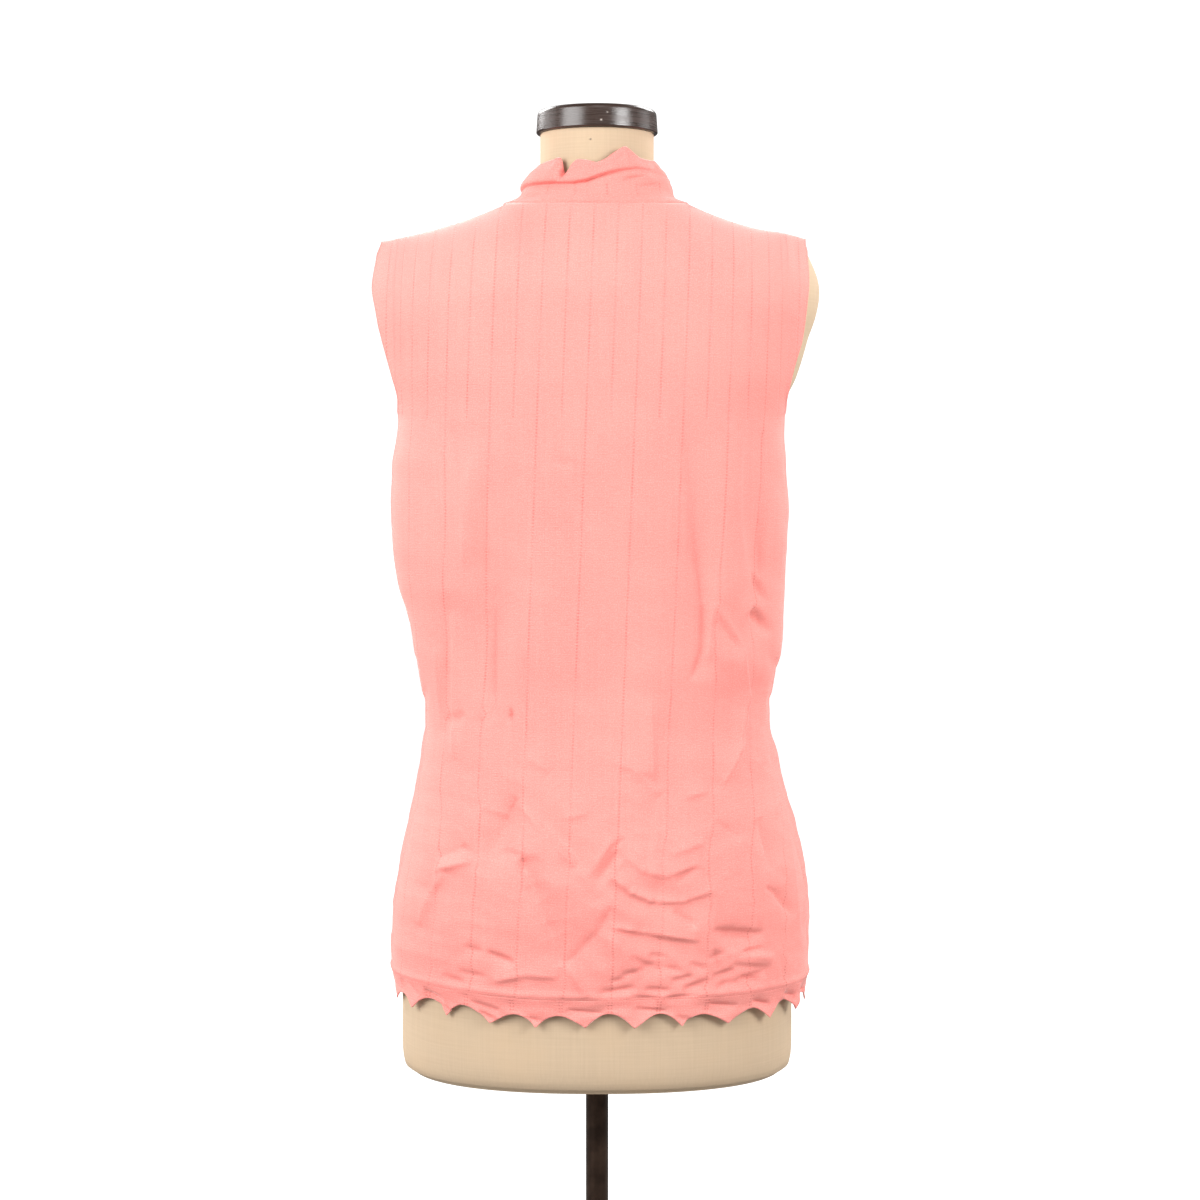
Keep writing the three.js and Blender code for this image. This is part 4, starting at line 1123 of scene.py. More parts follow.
EDGE_STEPS = (0.5, 1.2, 2.2, 3.6)   # extra columns and rows beside the edges, for the turned rim
PANEL_HALF = 250               # cloth from the centre line to a panel's edge, for turning shares to lengths
NECK_CLOTH = 80                # cloth from the centre line to the neckline's corner
SIDE_CLOTH = 172               # and from there to the edge
FRONT_COARSER = 1.2            # the plain front's squares are this much larger
CREASED_TO = 620               # rows are closer together below this height, where the fine creases are
CALM_COARSER = 1.8             # and this much further apart above it
ROLL_GATHER = 1.3              # exponent by which the rows gather up the shoulder

RIDGE_ROLL = 1.3               # how far the turned ridge above the edging stands out
RIDGE_ABOVE = 3.4              # how far its crest is above the panel's lower edge
RIDGE_SPREAD = 2.6
EDGE_ROLL = 0.5                # how far the turned edge of the armholes stands out
EDGE_INSIDE = 1.8
EDGE_SPREAD = 1.5
SEAM_SINK = 0.5                # how far the side seams sink in
SEAM_SPREAD = 1.6
ARMHOLE_BLEND = 6              # half the height over which seam and armhole edge change places
SEAM_HALF_GAP = 0.02           # kept between back and front, besides half of the cloth's thickness
HEM_LIFT = 5.0                 # how much higher the hem hangs at the left side seam
HEM_LIFT_FROM = (40, 165)      # distances to the left between which it starts and is whole
HEM_LIFT_OVER = 110            # height over which the lift dies out
EASE_OVER = 26                 # how far from the neckline's corners the cloth is eased
EASE_BELOW = (2, 14)           # depths below the shoulder seam between which easing sets in
EASE_FOOT = 70                 # it stops at the underarm, and is whole this much higher
EASE_ROUNDS = 60
EASE_SHARE = 0.5
CUT_STRETCH = 1.3              # length of cloth for each unit across, outside the underarm's width
CUT_ROLL_FROM = 30             # above the underarm, cloth this far in from the section is rolled over
CUT_ROLL = 0.3                 # extra length of cloth for each unit past that


def panel_columns(neck_spans, shoulder_spans):
    """Columns as shares of the panel's reach. One is the corner where neckline and shoulder seam meet."""
    corner = CORNER_TURN / SEAM_SIDE
    near_edge = [1 - step / PANEL_HALF for step in reversed(EDGE_STEPS)]
    inner = np.linspace(0, corner, neck_spans + 1)
    outer = np.linspace(corner, near_edge[0], shoulder_spans + 1)[1:]
    half = np.concatenate([inner, outer, near_edge[1:], [1.0]])
    return np.concatenate([-half[:0:-1], half])


def panel_heights(step):
    """Heights of the rows, closer together at the hem's ridge and where the shoulders roll over."""
    foot = [RIDGE] + [RIDGE + edge for edge in EDGE_STEPS]
    creased = np.arange(foot[-1] + step, CREASED_TO, step)
    coarse = CALM_COARSER * step
    calm = np.linspace(CREASED_TO, UNDERARM, round((UNDERARM - CREASED_TO) / coarse), endpoint=False)
    rise = np.linspace(0, 1, round((SHOULDER - UNDERARM) / coarse) + 1)
    high = UNDERARM + (SHOULDER - UNDERARM) * (1 - (1 - rise) ** ROLL_GATHER)
    return np.concatenate([foot, creased[creased < CREASED_TO - step / 2], calm, high])


def panel_point(side, share, height, out):
    """Points of a panel's face, with its folds, its turned edges and the seam's small step."""
    row = section(height)
    turn = panel_turn(side, share, height)
    move = cloth_move(side, row, turn, height)
    ridge = RIDGE_ROLL * swell(height - RIDGE, RIDGE_ABOVE, RIDGE_SPREAD)
    armhole = smooth(UNDERARM - ARMHOLE_BLEND, UNDERARM + ARMHOLE_BLEND, height)
    from_edge = (1 - np.abs(share)) * PANEL_HALF
    turned = EDGE_ROLL * armhole * swell(from_edge, EDGE_INSIDE, EDGE_SPREAD)
    seam = -SEAM_SINK * (1 - armhole) * swell(from_edge, 0, SEAM_SPREAD)
    return surface_point(row, side, turn, height, move + ridge + turned + seam + out)


def hem_lift(x):
    """How much higher the hem hangs towards the left side seam."""
    return HEM_LIFT * smooth(*HEM_LIFT_FROM, -x)


def cut_across(points):
    """Length across the cloth from its centre line, along each row."""
    steps = np.linalg.norm(np.diff(points, axis=1), axis=-1)
    lengths = np.concatenate([np.zeros((len(points), 1)), np.cumsum(steps, axis=1)], axis=1)
    return lengths - lengths[:, lengths.shape[1] // 2][:, None]


def ease_corners(points, height):
    """Takes out the kink that would run down the cloth from each corner of the neckline."""
    near = swell(np.abs(points[..., 0]), NECK_HALF, EASE_OVER)
    below_seam = smooth(*EASE_BELOW, SHOULDER - height)
    above_foot = smooth(UNDERARM, UNDERARM + EASE_FOOT, height)
    share = (EASE_SHARE * near * below_seam * above_foot)[:, 1:-1, None]
    for _ in range(EASE_ROUNDS):
        mean = (points[:, :-2, 1:] + points[:, 2:, 1:]) / 2
        points[:, 1:-1, 1:] = lerp(points[:, 1:-1, 1:], mean, share)


def panel_cut(outer, heights, full):
    """The flat cloth's coordinates. Above the underarm each wale runs on straight up."""
    across = cut_across(outer)
    underarm = int(np.argmin(np.abs(heights - UNDERARM)))
    reach = outer[underarm, :, 0]
    for row in range(underarm + 1, len(heights)):
        x = outer[row, :, 0]
        inside = np.clip(x, reach[0], reach[-1])
        across[row] = np.interp(inside, reach, across[underarm]) + CUT_STRETCH * (x - inside)
    rolled = np.maximum(full - np.abs(outer[..., 1]) - CUT_ROLL_FROM, 0) * (heights > UNDERARM)[:, None]
    return np.stack([across, outer[..., 2] + CUT_ROLL * rolled], -1)


def build_panel(side, knit, material):
    """One panel as a shell, with the lengths across its flat cloth and the heights of its rows."""
    thickness = knit.thickness / MM
    step = knit.grid / MM if side == "back" else knit.grid / MM * FRONT_COARSER
    heights = panel_heights(step)
    share, height = np.meshgrid(panel_columns(round(NECK_CLOTH / step), round(SIDE_CLOTH / step)), heights)
    facing = -1 if side == "back" else 1
    faces = []
    for out in (0, -thickness):
        points = panel_point(side, share, height, out)
        points[..., 1] += facing * (thickness / 2 + SEAM_HALF_GAP)
        points[..., 2] += hem_lift(points[..., 0]) * (1 - smooth(RIDGE, RIDGE + HEM_LIFT_OVER, height))
        ease_corners(points, height)
        faces.append(points)
    outer, inner = faces
    cut = panel_cut(outer, heights, section(height)[side])
    across = cut[..., 0]
    if side == "front":
        outer, inner, cut = (grid[:, ::-1] for grid in (outer, inner, cut))
    return cloth_shell(f"knit_{side}", outer, inner, cut, material), across, heights


# ---- Scalloped edging ----

SCALLOP_DEPTH = 11             # how far the arches reach up from the points
SCALLOP_START = -10            # where one point lies, measured along the hem from the centre back
SCALLOP_LEAN = 0.22            # how far the arches lean one way or the other
SCALLOP_UNEVEN = 0.12          # and how much their heights differ
SCALLOP_ROUND = 0.95           # exponent of an arch: 1 is a sine, less is fuller
EDGING_STEP = 1.2              # width of its mesh's columns
EDGING_ROWS = 18
EDGING_TUCK = 2.2              # how far the edging slants in below the ridge
EDGING_GAP = 0.3               # kept below the panel's lower edge
EDGING_TUCKED = 0.8            # share of its height over which it slants in
EDGING_RIPPLE = 0.8
EDGING_RIPPLE_FINER = 3        # how much finer its ripples are up the cloth than along it
FLICK_LOW = 2.2                # exponents that keep the flicks low down and at the points
FLICK_POINT = 0.8
EDGING_SEEDS = {"back": 11, "front": 12}
HEM_TURNS = 721                # places where lengths along the hem are worked out

# How far each point of the edging flicks out, from the left side seam to the right one.
POINT_FLICKS = {
    "back": (2.4, 1.0, 2.8, 1.2, 1.8, 3.2, 0.8, 2.2, 2.8, 0.6, 2.6, 1.8, 1.4),
    "front": (2.0, 4.0, 1.5, 3.5, 2.5, 4.5, 3.0, 1.5, 4.0, 2.0, 3.5, 2.5, 3.0),
}
MIDDLE_POINT = 6               # number of the point beside the centre

# Small tucks that run along the edging: lengths along the hem from the centre, and heights over its points.
EDGING_CREASES = [
    Fold(-196, 21, -168, 13, 3, -2.8, 0.4),
    Fold(-160, 18, -138, 12, 3, -3.0, 0.4),
    Fold(-150, 9, -128, 3, 2.4, -2.4, 0.3),
    Fold(-112, 16, -84, 11, 3, -2.6, 0.4),
    Fold(-104, 8, -86, 2, 2.4, -3.0, 0.3),
    Fold(-60, 7, -40, 3, 2.4, -2.0, 0.3),
    Fold(-26, 15, 6, 12, 2.6, -2.0, 0.4),
    Fold(32, 16, 60, 13, 2.6, -2.2, 0.4),
    Fold(66, 9, 84, 4, 2.4, -1.8, 0.3),
    Fold(96, 18, 124, 14, 3, -2.6, 0.4),
    Fold(138, 17, 160, 11, 3, -3.2, 0.4),
    Fold(176, 18, 196, 13, 3, -2.8, 0.4),
    Fold(208, 17, 226, 12, 3, -2.6, 0.4),
]


def hem_turns(side):
    """Lengths along the ridge from the centre, and the turns where they lie."""
    turns = np.linspace(-SEAM_SIDE, SEAM_SIDE, HEM_TURNS)
    height = np.full_like(turns, RIDGE)
    points = surface_point(section(height), side, turns, height, 0)
    steps = np.linalg.norm(np.diff(points, axis=0), axis=-1)
    lengths = np.concatenate([[0], np.cumsum(steps)])
    return lengths - lengths[HEM_TURNS // 2], turns


def scallop(length):
    """Height of the edge's arches, from 0 at their points to about 1. No two neighbours are alike."""
    number, phase = np.divmod((length - SCALLOP_START) / SCALLOP_PITCH, 1)
    lean = 1 + SCALLOP_LEAN * np.sin(2.4 * number)
    tall = 1 + SCALLOP_UNEVEN * np.sin(1.7 * number + 1)
    return np.maximum(np.sin(np.pi * phase ** lean), 0) ** SCALLOP_ROUND * tall


def build_edging(side, knit, material):
    """One panel's edging as a shell, with the lengths of its columns along the hem."""
    thickness = knit.thickness / MM
    lengths, turns = hem_turns(side)
    columns = np.linspace(lengths[0], lengths[-1], round((lengths[-1] - lengths[0]) / EDGING_STEP) + 1)
    length, share = np.meshgrid(columns, np.linspace(1, 0, EDGING_ROWS))
    turn = np.interp(length, lengths, turns)
    arch = scallop(length)
    number = (length - SCALLOP_START) / SCALLOP_PITCH + MIDDLE_POINT
    flicks = np.interp(number, np.arange(len(POINT_FLICKS[side])), POINT_FLICKS[side])
    height = lerp(RIDGE - EDGING_GAP, HEM + SCALLOP_DEPTH * arch, share)
    tuck = -EDGING_TUCK * np.sin(np.minimum(share / EDGING_TUCKED, 1) * np.pi / 2)
    flick = flicks * share ** FLICK_LOW * np.maximum(1 - arch, 0) ** FLICK_POINT
    uneven = EDGING_RIPPLE * ripples(length, height * EDGING_RIPPLE_FINER, EDGING_SEEDS[side]) * share
    mirrored = length if side == "back" else -length
    uneven = uneven + crease_depth(EDGING_CREASES, mirrored, height - HEM)
    ridge = np.full_like(turn, RIDGE)
    follow = cloth_move(side, section(ridge), turn, ridge) * (1 - share) ** 2
    facing = -1 if side == "back" else 1
    faces = []
    for out in (0, -thickness):
        move = out + tuck + flick + uneven + follow
        points = surface_point(section(height), side, turn, height, move)
        points[..., 1] += facing * (thickness / 2 + SEAM_HALF_GAP)
        points[..., 2] += hem_lift(points[..., 0])
        faces.append(points)
    outer, inner = faces
    cut = np.stack([length, height - RIDGE], -1)
    if side == "front":
        outer, inner, cut = (grid[:, ::-1] for grid in (outer, inner, cut))
    return cloth_shell(f"edging_{side}", outer, inner, cut, material), columns


# ---- Collar ----

COLLAR_COLUMNS = 400
COLLAR_ROWS = 56
COLLAR_GATHER = 0.95           # exponent by which its rows gather at the edge
COLLAR_EDGE_SMOOTH = 0.6       # how far its edge goes from straight lines between points to a curve
COLLAR_EDGE_GROWS = 2.4        # exponent by which the points grow out of the rows below
COLLAR_JOINS = 0.1             # share of its height over which it leaves the neckline's own shape
COLLAR_SETTLES = 0.2           # and over which folds set in
COLLAR_TURNS = (0.3, 0.7)      # between these shares of the way round, one side's measure gives way
COLLAR_VALLEY = 1104           # the rows below this level run level, and those above follow the edge
COLLAR_VALLEY_BACK = 3         # how much higher that level is behind
COLLAR_RIPPLE = 0.7
COLLAR_SEED = 5
COLLAR_SEAM_GAP = 0.3          # kept above the panels
COLLAR_SEAM_RIDGE = 0.9        # how far the seam's ridge stands out
COLLAR_SEAM_ABOVE = 2.2
COLLAR_SEAM_SPREAD = 1.5
COLLAR_CUT_RADIUS = 66         # of the tube that the collar is cut as

# Where the cloth slumps over, it rolls out above the line and tucks in at it and below.
SLUMP_OUT = 0.806              # share of the depth by which it rolls out
SLUMP_OUT_SOON = 1.6           # height over which the roll comes
SLUMP_OUT_FADES = 11           # and over which it goes
SLUMP_IN = 0.9                 # share of the depth by which it tucks in
SLUMP_IN_ABOVE = 0.9
SLUMP_IN_BELOW = 2.0

# Share of the collar's height above the neck seam, half width at the left and right, depth behind and before.
COLLAR_PROFILE = np.array([
    (0.0, 80, 80, 62, 56),
    (0.09, 76, 75, 63.5, 58.5),
    (0.2, 70.5, 69.5, 64, 61),
    (0.34, 67, 67, 63.5, 62),
    (0.5, 66, 66.5, 61.5, 61),
    (0.68, 65, 65.5, 61, 60.5),
    (0.85, 60.5, 62.5, 59.5, 58.5),
    (1.0, 54, 56.5, 56, 56),
], float)

# Points and dips of the top edge: azimuth in degrees from the right, the back being -90, and height.
COLLAR_EDGE = np.array([
    (-180, 1109), (-168, 1112.5), (-155, 1114.8), (-141, 1116), (-132, 1117), (-128, 1118), (-124.6, 1117.4),
    (-123, 1112), (-122, 1105), (-120, 1103.6), (-117.5, 1107), (-114, 1112), (-109, 1115.7), (-100, 1115),
    (-90, 1112.7), (-83, 1115.7), (-74, 1122), (-66, 1126.4), (-58, 1122), (-50, 1118), (-42, 1117.2),
    (-34, 1117.2), (-27, 1117.5), (-18, 1114), (-8, 1109), (4, 1112), (16, 1116), (25, 1111), (34, 1106),
    (43, 1110), (52, 1115), (61, 1109), (70, 1103.5), (79, 1108), (88, 1113), (97, 1107), (106, 1102.5),
    (115, 1108), (124, 1114), (133, 1109), (142, 1105), (151, 1110), (160, 1115), (170, 1112), (180, 1109),
], float)

# The crease where the collar slumps over: azimuth, height and depth.
COLLAR_SLUMP = np.array([
    (-180, 1094, 0.8), (-160, 1097, 2.6), (-140, 1096.5, 3.6), (-124, 1096.3, 3.6), (-108, 1095, 3.4),
    (-98, 1096.5, 4.2), (-88, 1101, 4.4), (-72, 1106, 3.6), (-58, 1108.5, 2.2), (-45, 1108, 0.8),
    (-20, 1104, 0.4), (20, 1100, 0.8), (60, 1092, 2.2), (95, 1090, 2.6), (130, 1094, 2.0), (160, 1097, 1.2),
    (180, 1094, 0.8),
], float)

# Places of the edge that stand out or in: azimuth and its spread, heights between which this grows, how far.
COLLAR_PLACES = [
    (-121, 2.2, 1100, 1106, -1.6),      # the notch
    (-128, 4.0, 1098, 1112, 1.0),       # the lip beside it
    (-66, 14, 1106, 1124, 2.0),         # the tall point, which leans out
]

# Soft wrinkles: azimuth and height of both ends, width, depth and facet.
COLLAR_WRINKLES = [
    Fold(-70, 1098, -50, 1103, 2.6, -1.6, 0.6),
    Fold(-58, 1093, -36, 1097, 2.6, -1.4, 0.6),
    Fold(-46, 1104, -30, 1113, 2.6, -1.4, 0.6),
    Fold(-150, 1088, -128, 1086, 2.2, -1.0, 0.6),
    Fold(-96, 1108, -84, 1113, 2.2, -1.2, 0.5),
    Fold(-76, 1112, -68, 1121, 2.4, -1.0, 0.5),
    Fold(-112, 1089, -96, 1087, 2.0, -0.8, 0.6),
    Fold(50, 1100, 76, 1094, 2.6, -1.6, 0.6),
    Fold(100, 1096, 124, 1101, 2.6, -1.4, 0.6),
]


def collar_edge(azimuth):
    """Height of the collar's top edge."""
    straight = np.interp(azimuth, COLLAR_EDGE[:, 0], COLLAR_EDGE[:, 1])
    return lerp(straight, sample(COLLAR_EDGE, azimuth)[..., 1], COLLAR_EDGE_SMOOTH)


def neckline_ring(out, count):
    """The top edges of both panels, once round from the left, with equal steps of azimuth."""
    turns = np.linspace(-CORNER_TURN, CORNER_TURN, 241)
    height = np.full_like(turns, SHOULDER)
    arcs = []
    for side in ("back", "front"):
        arcs.append(surface_point(section(height), side, turns, height, out))
    ring = np.concatenate([arcs[0], arcs[1][::-1][1:-1]])
    azimuth = np.unwrap(np.arctan2(ring[:, 1] / NECK_DEPTH["back"], ring[:, 0] / NECK_HALF))
    azimuth = azimuth - azimuth[0]
    wanted = np.linspace(0, 2 * math.pi, count, endpoint=False)
    closed = np.concatenate([ring, ring[:1]])
    turns_round = np.concatenate([azimuth, [2 * math.pi]])
    return np.stack([np.interp(wanted, turns_round, closed[:, k]) for k in range(3)], -1), wanted


def slump_depth(degrees, height):
    """How far the slumped fold of the collar moves its cloth out."""
    line, depth = (np.interp(degrees, COLLAR_SLUMP[:, 0], COLLAR_SLUMP[:, k]) for k in (1, 2))
    above = height - line
    up, down = np.maximum(above, 0), np.minimum(above, 0)
    rolled = SLUMP_OUT * (1 - np.exp(-up / SLUMP_OUT_SOON)) * np.exp(-up / SLUMP_OUT_FADES)
    tucked = SLUMP_IN * np.exp(-up / SLUMP_IN_ABOVE + down / SLUMP_IN_BELOW)
    return depth * (rolled - tucked)


def collar_move(degrees, height, share):
    """How far folds, wrinkles and uneven places move the collar's cloth out."""
    settled = smooth(0, COLLAR_SETTLES, share)
    move = slump_depth(degrees, height) * settled
    move += crease_depth(COLLAR_WRINKLES, degrees + 0 * height, height)
    move += COLLAR_RIPPLE * ripples(degrees * 1.1, height * 1.4, COLLAR_SEED) * settled
    for azimuth, spread, low, high, out in COLLAR_PLACES:
        move += out * swell(degrees, azimuth, spread) * smooth(low, high, height)
    return move


def collar_face(out, share):
    """One face of the collar, from the neck seam to its pointed edge."""
    base, wanted = neckline_ring(out, COLLAR_COLUMNS)
    azimuth = -math.pi + wanted
    degrees = np.degrees(azimuth)
    seam = base[:, 2] + COLLAR_SEAM_GAP
    left = 0.5 - 0.5 * np.cos(azimuth)
    behind = 0.5 - 0.5 * np.sin(azimuth)
    profile = sample(COLLAR_PROFILE, share[:, 0])
    wide = lerp(profile[:, 2:3], profile[:, 1:2], smooth(*COLLAR_TURNS, left))
    deep = lerp(profile[:, 4:5], profile[:, 3:4], smooth(*COLLAR_TURNS, behind))
    valley = COLLAR_VALLEY + COLLAR_VALLEY_BACK * behind
    height = lerp(seam, valley, share) + (collar_edge(degrees) - valley) * share ** COLLAR_EDGE_GROWS
    ridge = COLLAR_SEAM_RIDGE * swell(height - seam, COLLAR_SEAM_ABOVE, COLLAR_SEAM_SPREAD)
    move = collar_move(degrees, height, share) + ridge + out
    x = (wide + move) * np.cos(azimuth)
    y = (deep + move) * np.sin(azimuth)
    blend = smooth(0, COLLAR_JOINS, share)
    return np.stack([lerp(base[:, 0], x, blend), lerp(base[:, 1], y, blend), height], -1)


def build_collar(knit, material):
    """The collar as a shell that closes on itself."""
    share = np.linspace(0, 1, COLLAR_ROWS)[:, None] ** COLLAR_GATHER
    faces = []
    for out in (0, -knit.thickness / MM):
        face = collar_face(out, share)
        faces.append(np.concatenate([face, face[:, :1]], axis=1))
    outer, inner = faces
    lengths = np.linspace(0, 2 * math.pi * COLLAR_CUT_RADIUS, COLLAR_COLUMNS + 1)
    level = outer[..., 2] - outer[:1, :, 2]
    cut = np.stack([np.broadcast_to(lengths, level.shape), level], -1)
    return cloth_shell("knit_collar", outer, inner, cut, material, ring=True)


# ---- Dress form ----

NECK_RADIUS = 49.5
NECK_STRAIGHT = 1122           # above this the neck is a plain cylinder
NECK_FLARE = 2.8               # exponent by which the neck flares out downwards
NECK_GATHER = 1.3              # and by which its rings gather there
FOOT_ROWS = (0, 1, 2, 3.5)     # heights of the first rings, round the form's lower edge
FORM_STEP = 6                  # from ring to ring above them
FORM_GATHER = 1.6              # exponent by which the rings gather up the shoulder
SHOULDER_RINGS = 45
NECK_RINGS = 19
NECK_TOP_RINGS = 5
NECK_COLUMNS = 41              # between the neckline's corners
SIDE_COLUMNS = 49              # from a corner to the side


def form_section(height):
    """The form's section: the garment's, less the slack, and alike on both sides."""
    row = section(height)
    half = row["right"] - row["sides"]
    end = shoulder_end(ENDS["form"], height)
    return {"left": half, "right": half, "back": row["back"] - row["behind"],
            "front": row["front"] - row["before"], "left end": end, "right end": end}


def form_ring(height, turns):
    """The form's surface once round, at one height, for turns from side to side."""
    at = np.full_like(turns, height)
    arcs = [surface_point(form_section(at), side, turns, at, -REST) for side in ("back", "front")]
    return np.concatenate([arcs[0][:-1], arcs[1][::-1][:-1]])


def ring_faces(rings, start):
    """Quads between rings of equal count, each above the last."""
    count = rings.shape[1]
    index = start + np.arange(rings.shape[0] * count).reshape(rings.shape[0], count)
    index = np.concatenate([index, index[:, :1]], axis=1)
    return grid_faces(index).tolist(), index


def neck_rings(turns):
    """Rings from the neck's seat on the shoulders up to its flat top."""
    seat = form_ring(SHOULDER, turns)
    azimuth = np.arctan2(seat[:, 1] / NECK_DEPTH["back"], seat[:, 0] / NECK_HALF)
    circle = np.stack([NECK_RADIUS * np.cos(azimuth), NECK_RADIUS * np.sin(azimuth)], -1)
    rings = [seat]
    for rise in np.linspace(0, 1, NECK_RINGS)[1:]:
        flat = lerp(circle, seat[:, :2], (1 - rise) ** NECK_FLARE)
        height = lerp(seat[:, 2], NECK_STRAIGHT, rise ** NECK_GATHER)
        rings.append(np.concatenate([flat, height[:, None]], axis=1))
    for height in np.linspace(NECK_STRAIGHT, NECK_TOP, NECK_TOP_RINGS)[1:]:
        rings.append(np.concatenate([rings[-1][:, :2], np.full((len(seat), 1), height)], axis=1))
    return np.stack(rings)


def build_torso(material):
    """The form's torso and neck as one closed piece."""
    neck_turns = np.linspace(-CORNER_TURN, CORNER_TURN, NECK_COLUMNS)
    side_turns = np.linspace(CORNER_TURN, SEAM_SIDE, SIDE_COLUMNS)[1:]
    turns = np.concatenate([-side_turns[::-1], neck_turns, side_turns])
    foot = FORM_BOTTOM + np.array(FOOT_ROWS)
    low = np.concatenate([foot, np.arange(FORM_BOTTOM + 5, UNDERARM, FORM_STEP)])
    rise = np.linspace(0, 1, SHOULDER_RINGS)
    high = UNDERARM + (SHOULDER - UNDERARM) * (1 - (1 - rise) ** FORM_GATHER)
    torso = np.stack([form_ring(height, turns) for height in np.concatenate([low, high])])
    neck = neck_rings(neck_turns)
    faces, index = ring_faces(torso, 0)
    neck_faces, neck_index = ring_faces(neck, torso.shape[0] * torso.shape[1])
    faces += neck_faces
    points = np.concatenate([torso.reshape(-1, 3), neck.reshape(-1, 3)])
    bottom, top = len(points), len(points) + 1
    points = np.concatenate([points, [[0, 0, FORM_BOTTOM], [0, 0, NECK_TOP]]])
    faces += [(bottom, b, a) for a, b in zip(index[0], index[0][1:])]
    faces += [(a, b, top) for a, b in zip(neck_index[-1], neck_index[-1][1:])]
    made = new_piece("form_cover", points, faces, material)
    join_close_points(made)
    made.data.set_sharp_from_angle(angle=math.radians(SHARP_FORM))
    return made


def join_close_points(made):
    """Welds points that lie on each other, such as the two sides of the shoulder line."""
    work = bmesh.new()
    work.from_mesh(made.data)
    bmesh.ops.remove_doubles(work, verts=work.verts, dist=WELD * MM)
    bmesh.ops.recalc_face_normals(work, faces=work.faces)
    work.to_mesh(made.data)
    work.free()
    made.data.polygons.foreach_set("use_smooth", np.ones(len(made.data.polygons), bool))


def carry(piece, slot, *nodes):
    """Rides a piece on the part's one body, and lets it stand for its solids."""
    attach(piece, BODY)
    if nodes:
        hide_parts(*nodes)
    return piece


# ---- Operators ----

LIGHTS_AIM = (0, 0, 0.85)
# Each light's power setting, its place in metres and its width.
LIGHTS = {
    "key": ("key", (-1.55, -1.35, 1.5), 1.4),
    "fill": ("fill", (1.55, -1.35, 1.5), 0.9),
    "top": ("top", (0.15, -1.9, 2.5), 1.0),
    "left_wall": ("wall", (-2.3, 0.45, 1.1), 1.2),
    "right_wall": ("wall", (2.3, 0.45, 1.1), 1.2),
    "far_key": ("far", (1.4, 1.5, 2.5), 1.2),
    "far_fill": ("far", (-1.4, 1.5, 2.2), 1.2),
}
WHITE_SEEN = 1.2               # strength of the white that the camera sees all round
FLOOR_HALF = 12 / MM

PIN_SIDES = 20
PIN_PLACE = (-5.5, 1133.5)     # across the back of the neck and up
PIN_SUNK = 0.2
CAP_SIDES = 560
CAP_FINE = 0.6                 # size of the mesh's squares round the cap's rim, where the chips are
CAP_PLAIN = 4                  # and further in
CAP_RIM = 8                    # width of the rim
CAP_SLANT = 0.09               # how much nearer the axis the chips at the top of the rim lie
POLE_SIDES = 64
BASE_SIDES = 192


class SWEATER_OT_stage(bpy.types.Operator):
    """Set up the camera, the lights and a plain pale floor"""
    bl_idname = "sweater.stage"
    bl_label = "Studio"

    def execute(self, context):
        studio = context.scene.sweater_studio
        camera = bpy.data.objects.new("camera", bpy.data.cameras.new("camera"))
        camera.data.lens = studio.lens
        camera.location = (studio.aside, -studio.distance, studio.height)
        camera.rotation_euler = (math.pi / 2 - studio.pitch, 0, 0)
        context.scene.collection.objects.link(camera)
        context.scene.camera = camera
        context.scene.view_settings.view_transform = "Standard"
        for name, (setting, place, size) in LIGHTS.items():
            self.add_light(name, getattr(studio, setting), place, size)
        self.add_room(studio.sky)
        self.add_floor()
        return {"FINISHED"}

    def add_light(self, name, power, place, size):
        """A square light that shines on the form."""
        light = bpy.data.lights.new(name, "AREA")
        light.energy = power
        light.size = size
        made = bpy.data.objects.new(name, light)
        made.location = place
        aim = Vector(LIGHTS_AIM) - Vector(place)
        made.rotation_euler = aim.to_track_quat("-Z", "Y").to_euler()
        bpy.context.scene.collection.objects.link(made)

    def add_room(self, strength):
        """White surroundings that light the part softly and are seen as plain white."""
        room = bpy.data.worlds.new("white_room")
        room.use_nodes = True
        tree = room.node_tree
        tree.nodes.clear()
        lit = add_node(tree, "ShaderNodeBackground", {"Color": (1, 1, 1, 1), "Strength": strength})
        seen = add_node(tree, "ShaderNodeBackground", {"Color": (1, 1, 1, 1), "Strength": WHITE_SEEN})
        ray = add_node(tree, "ShaderNodeLightPath")
        both = add_node(tree, "ShaderNodeMixShader", {0: ray.outputs["Is Camera Ray"], 1: lit, 2: seen})
        add_node(tree, "ShaderNodeOutputWorld", {"Surface": both})
        bpy.context.scene.world = room

    def add_floor(self):
        """Studio floor, painted and rolled: the eye gets an even pale ground without a horizon."""
        made, tree, shader = new_material("painted_studio_floor_rolled")
        haze = add_node(tree, "ShaderNodeTexNoise", {"Scale": 3.0, "Detail": 2.0})
        tone = add_node(tree, "ShaderNodeMapRange", {"Value": haze, "To Min": 0.55, "To Max": 0.65})
        tree.links.new(tone.outputs[0], shader.inputs["Roughness"])
        shader.inputs["Base Color"].default_value = linear(0x868684)
        ray = add_node(tree, "ShaderNodeLightPath")
        tree.links.new(ray.outputs["Is Camera Ray"], shader.inputs["Emission Strength"])
        shader.inputs["Emission Color"].default_value = (1, 1, 1, 1)
        points = FLOOR_HALF * np.array([(-1, -1, 0), (1, -1, 0), (1, 1, 0), (-1, 1, 0)])
        floor = new_piece("floor", points, [(0, 1, 2, 3)], made)


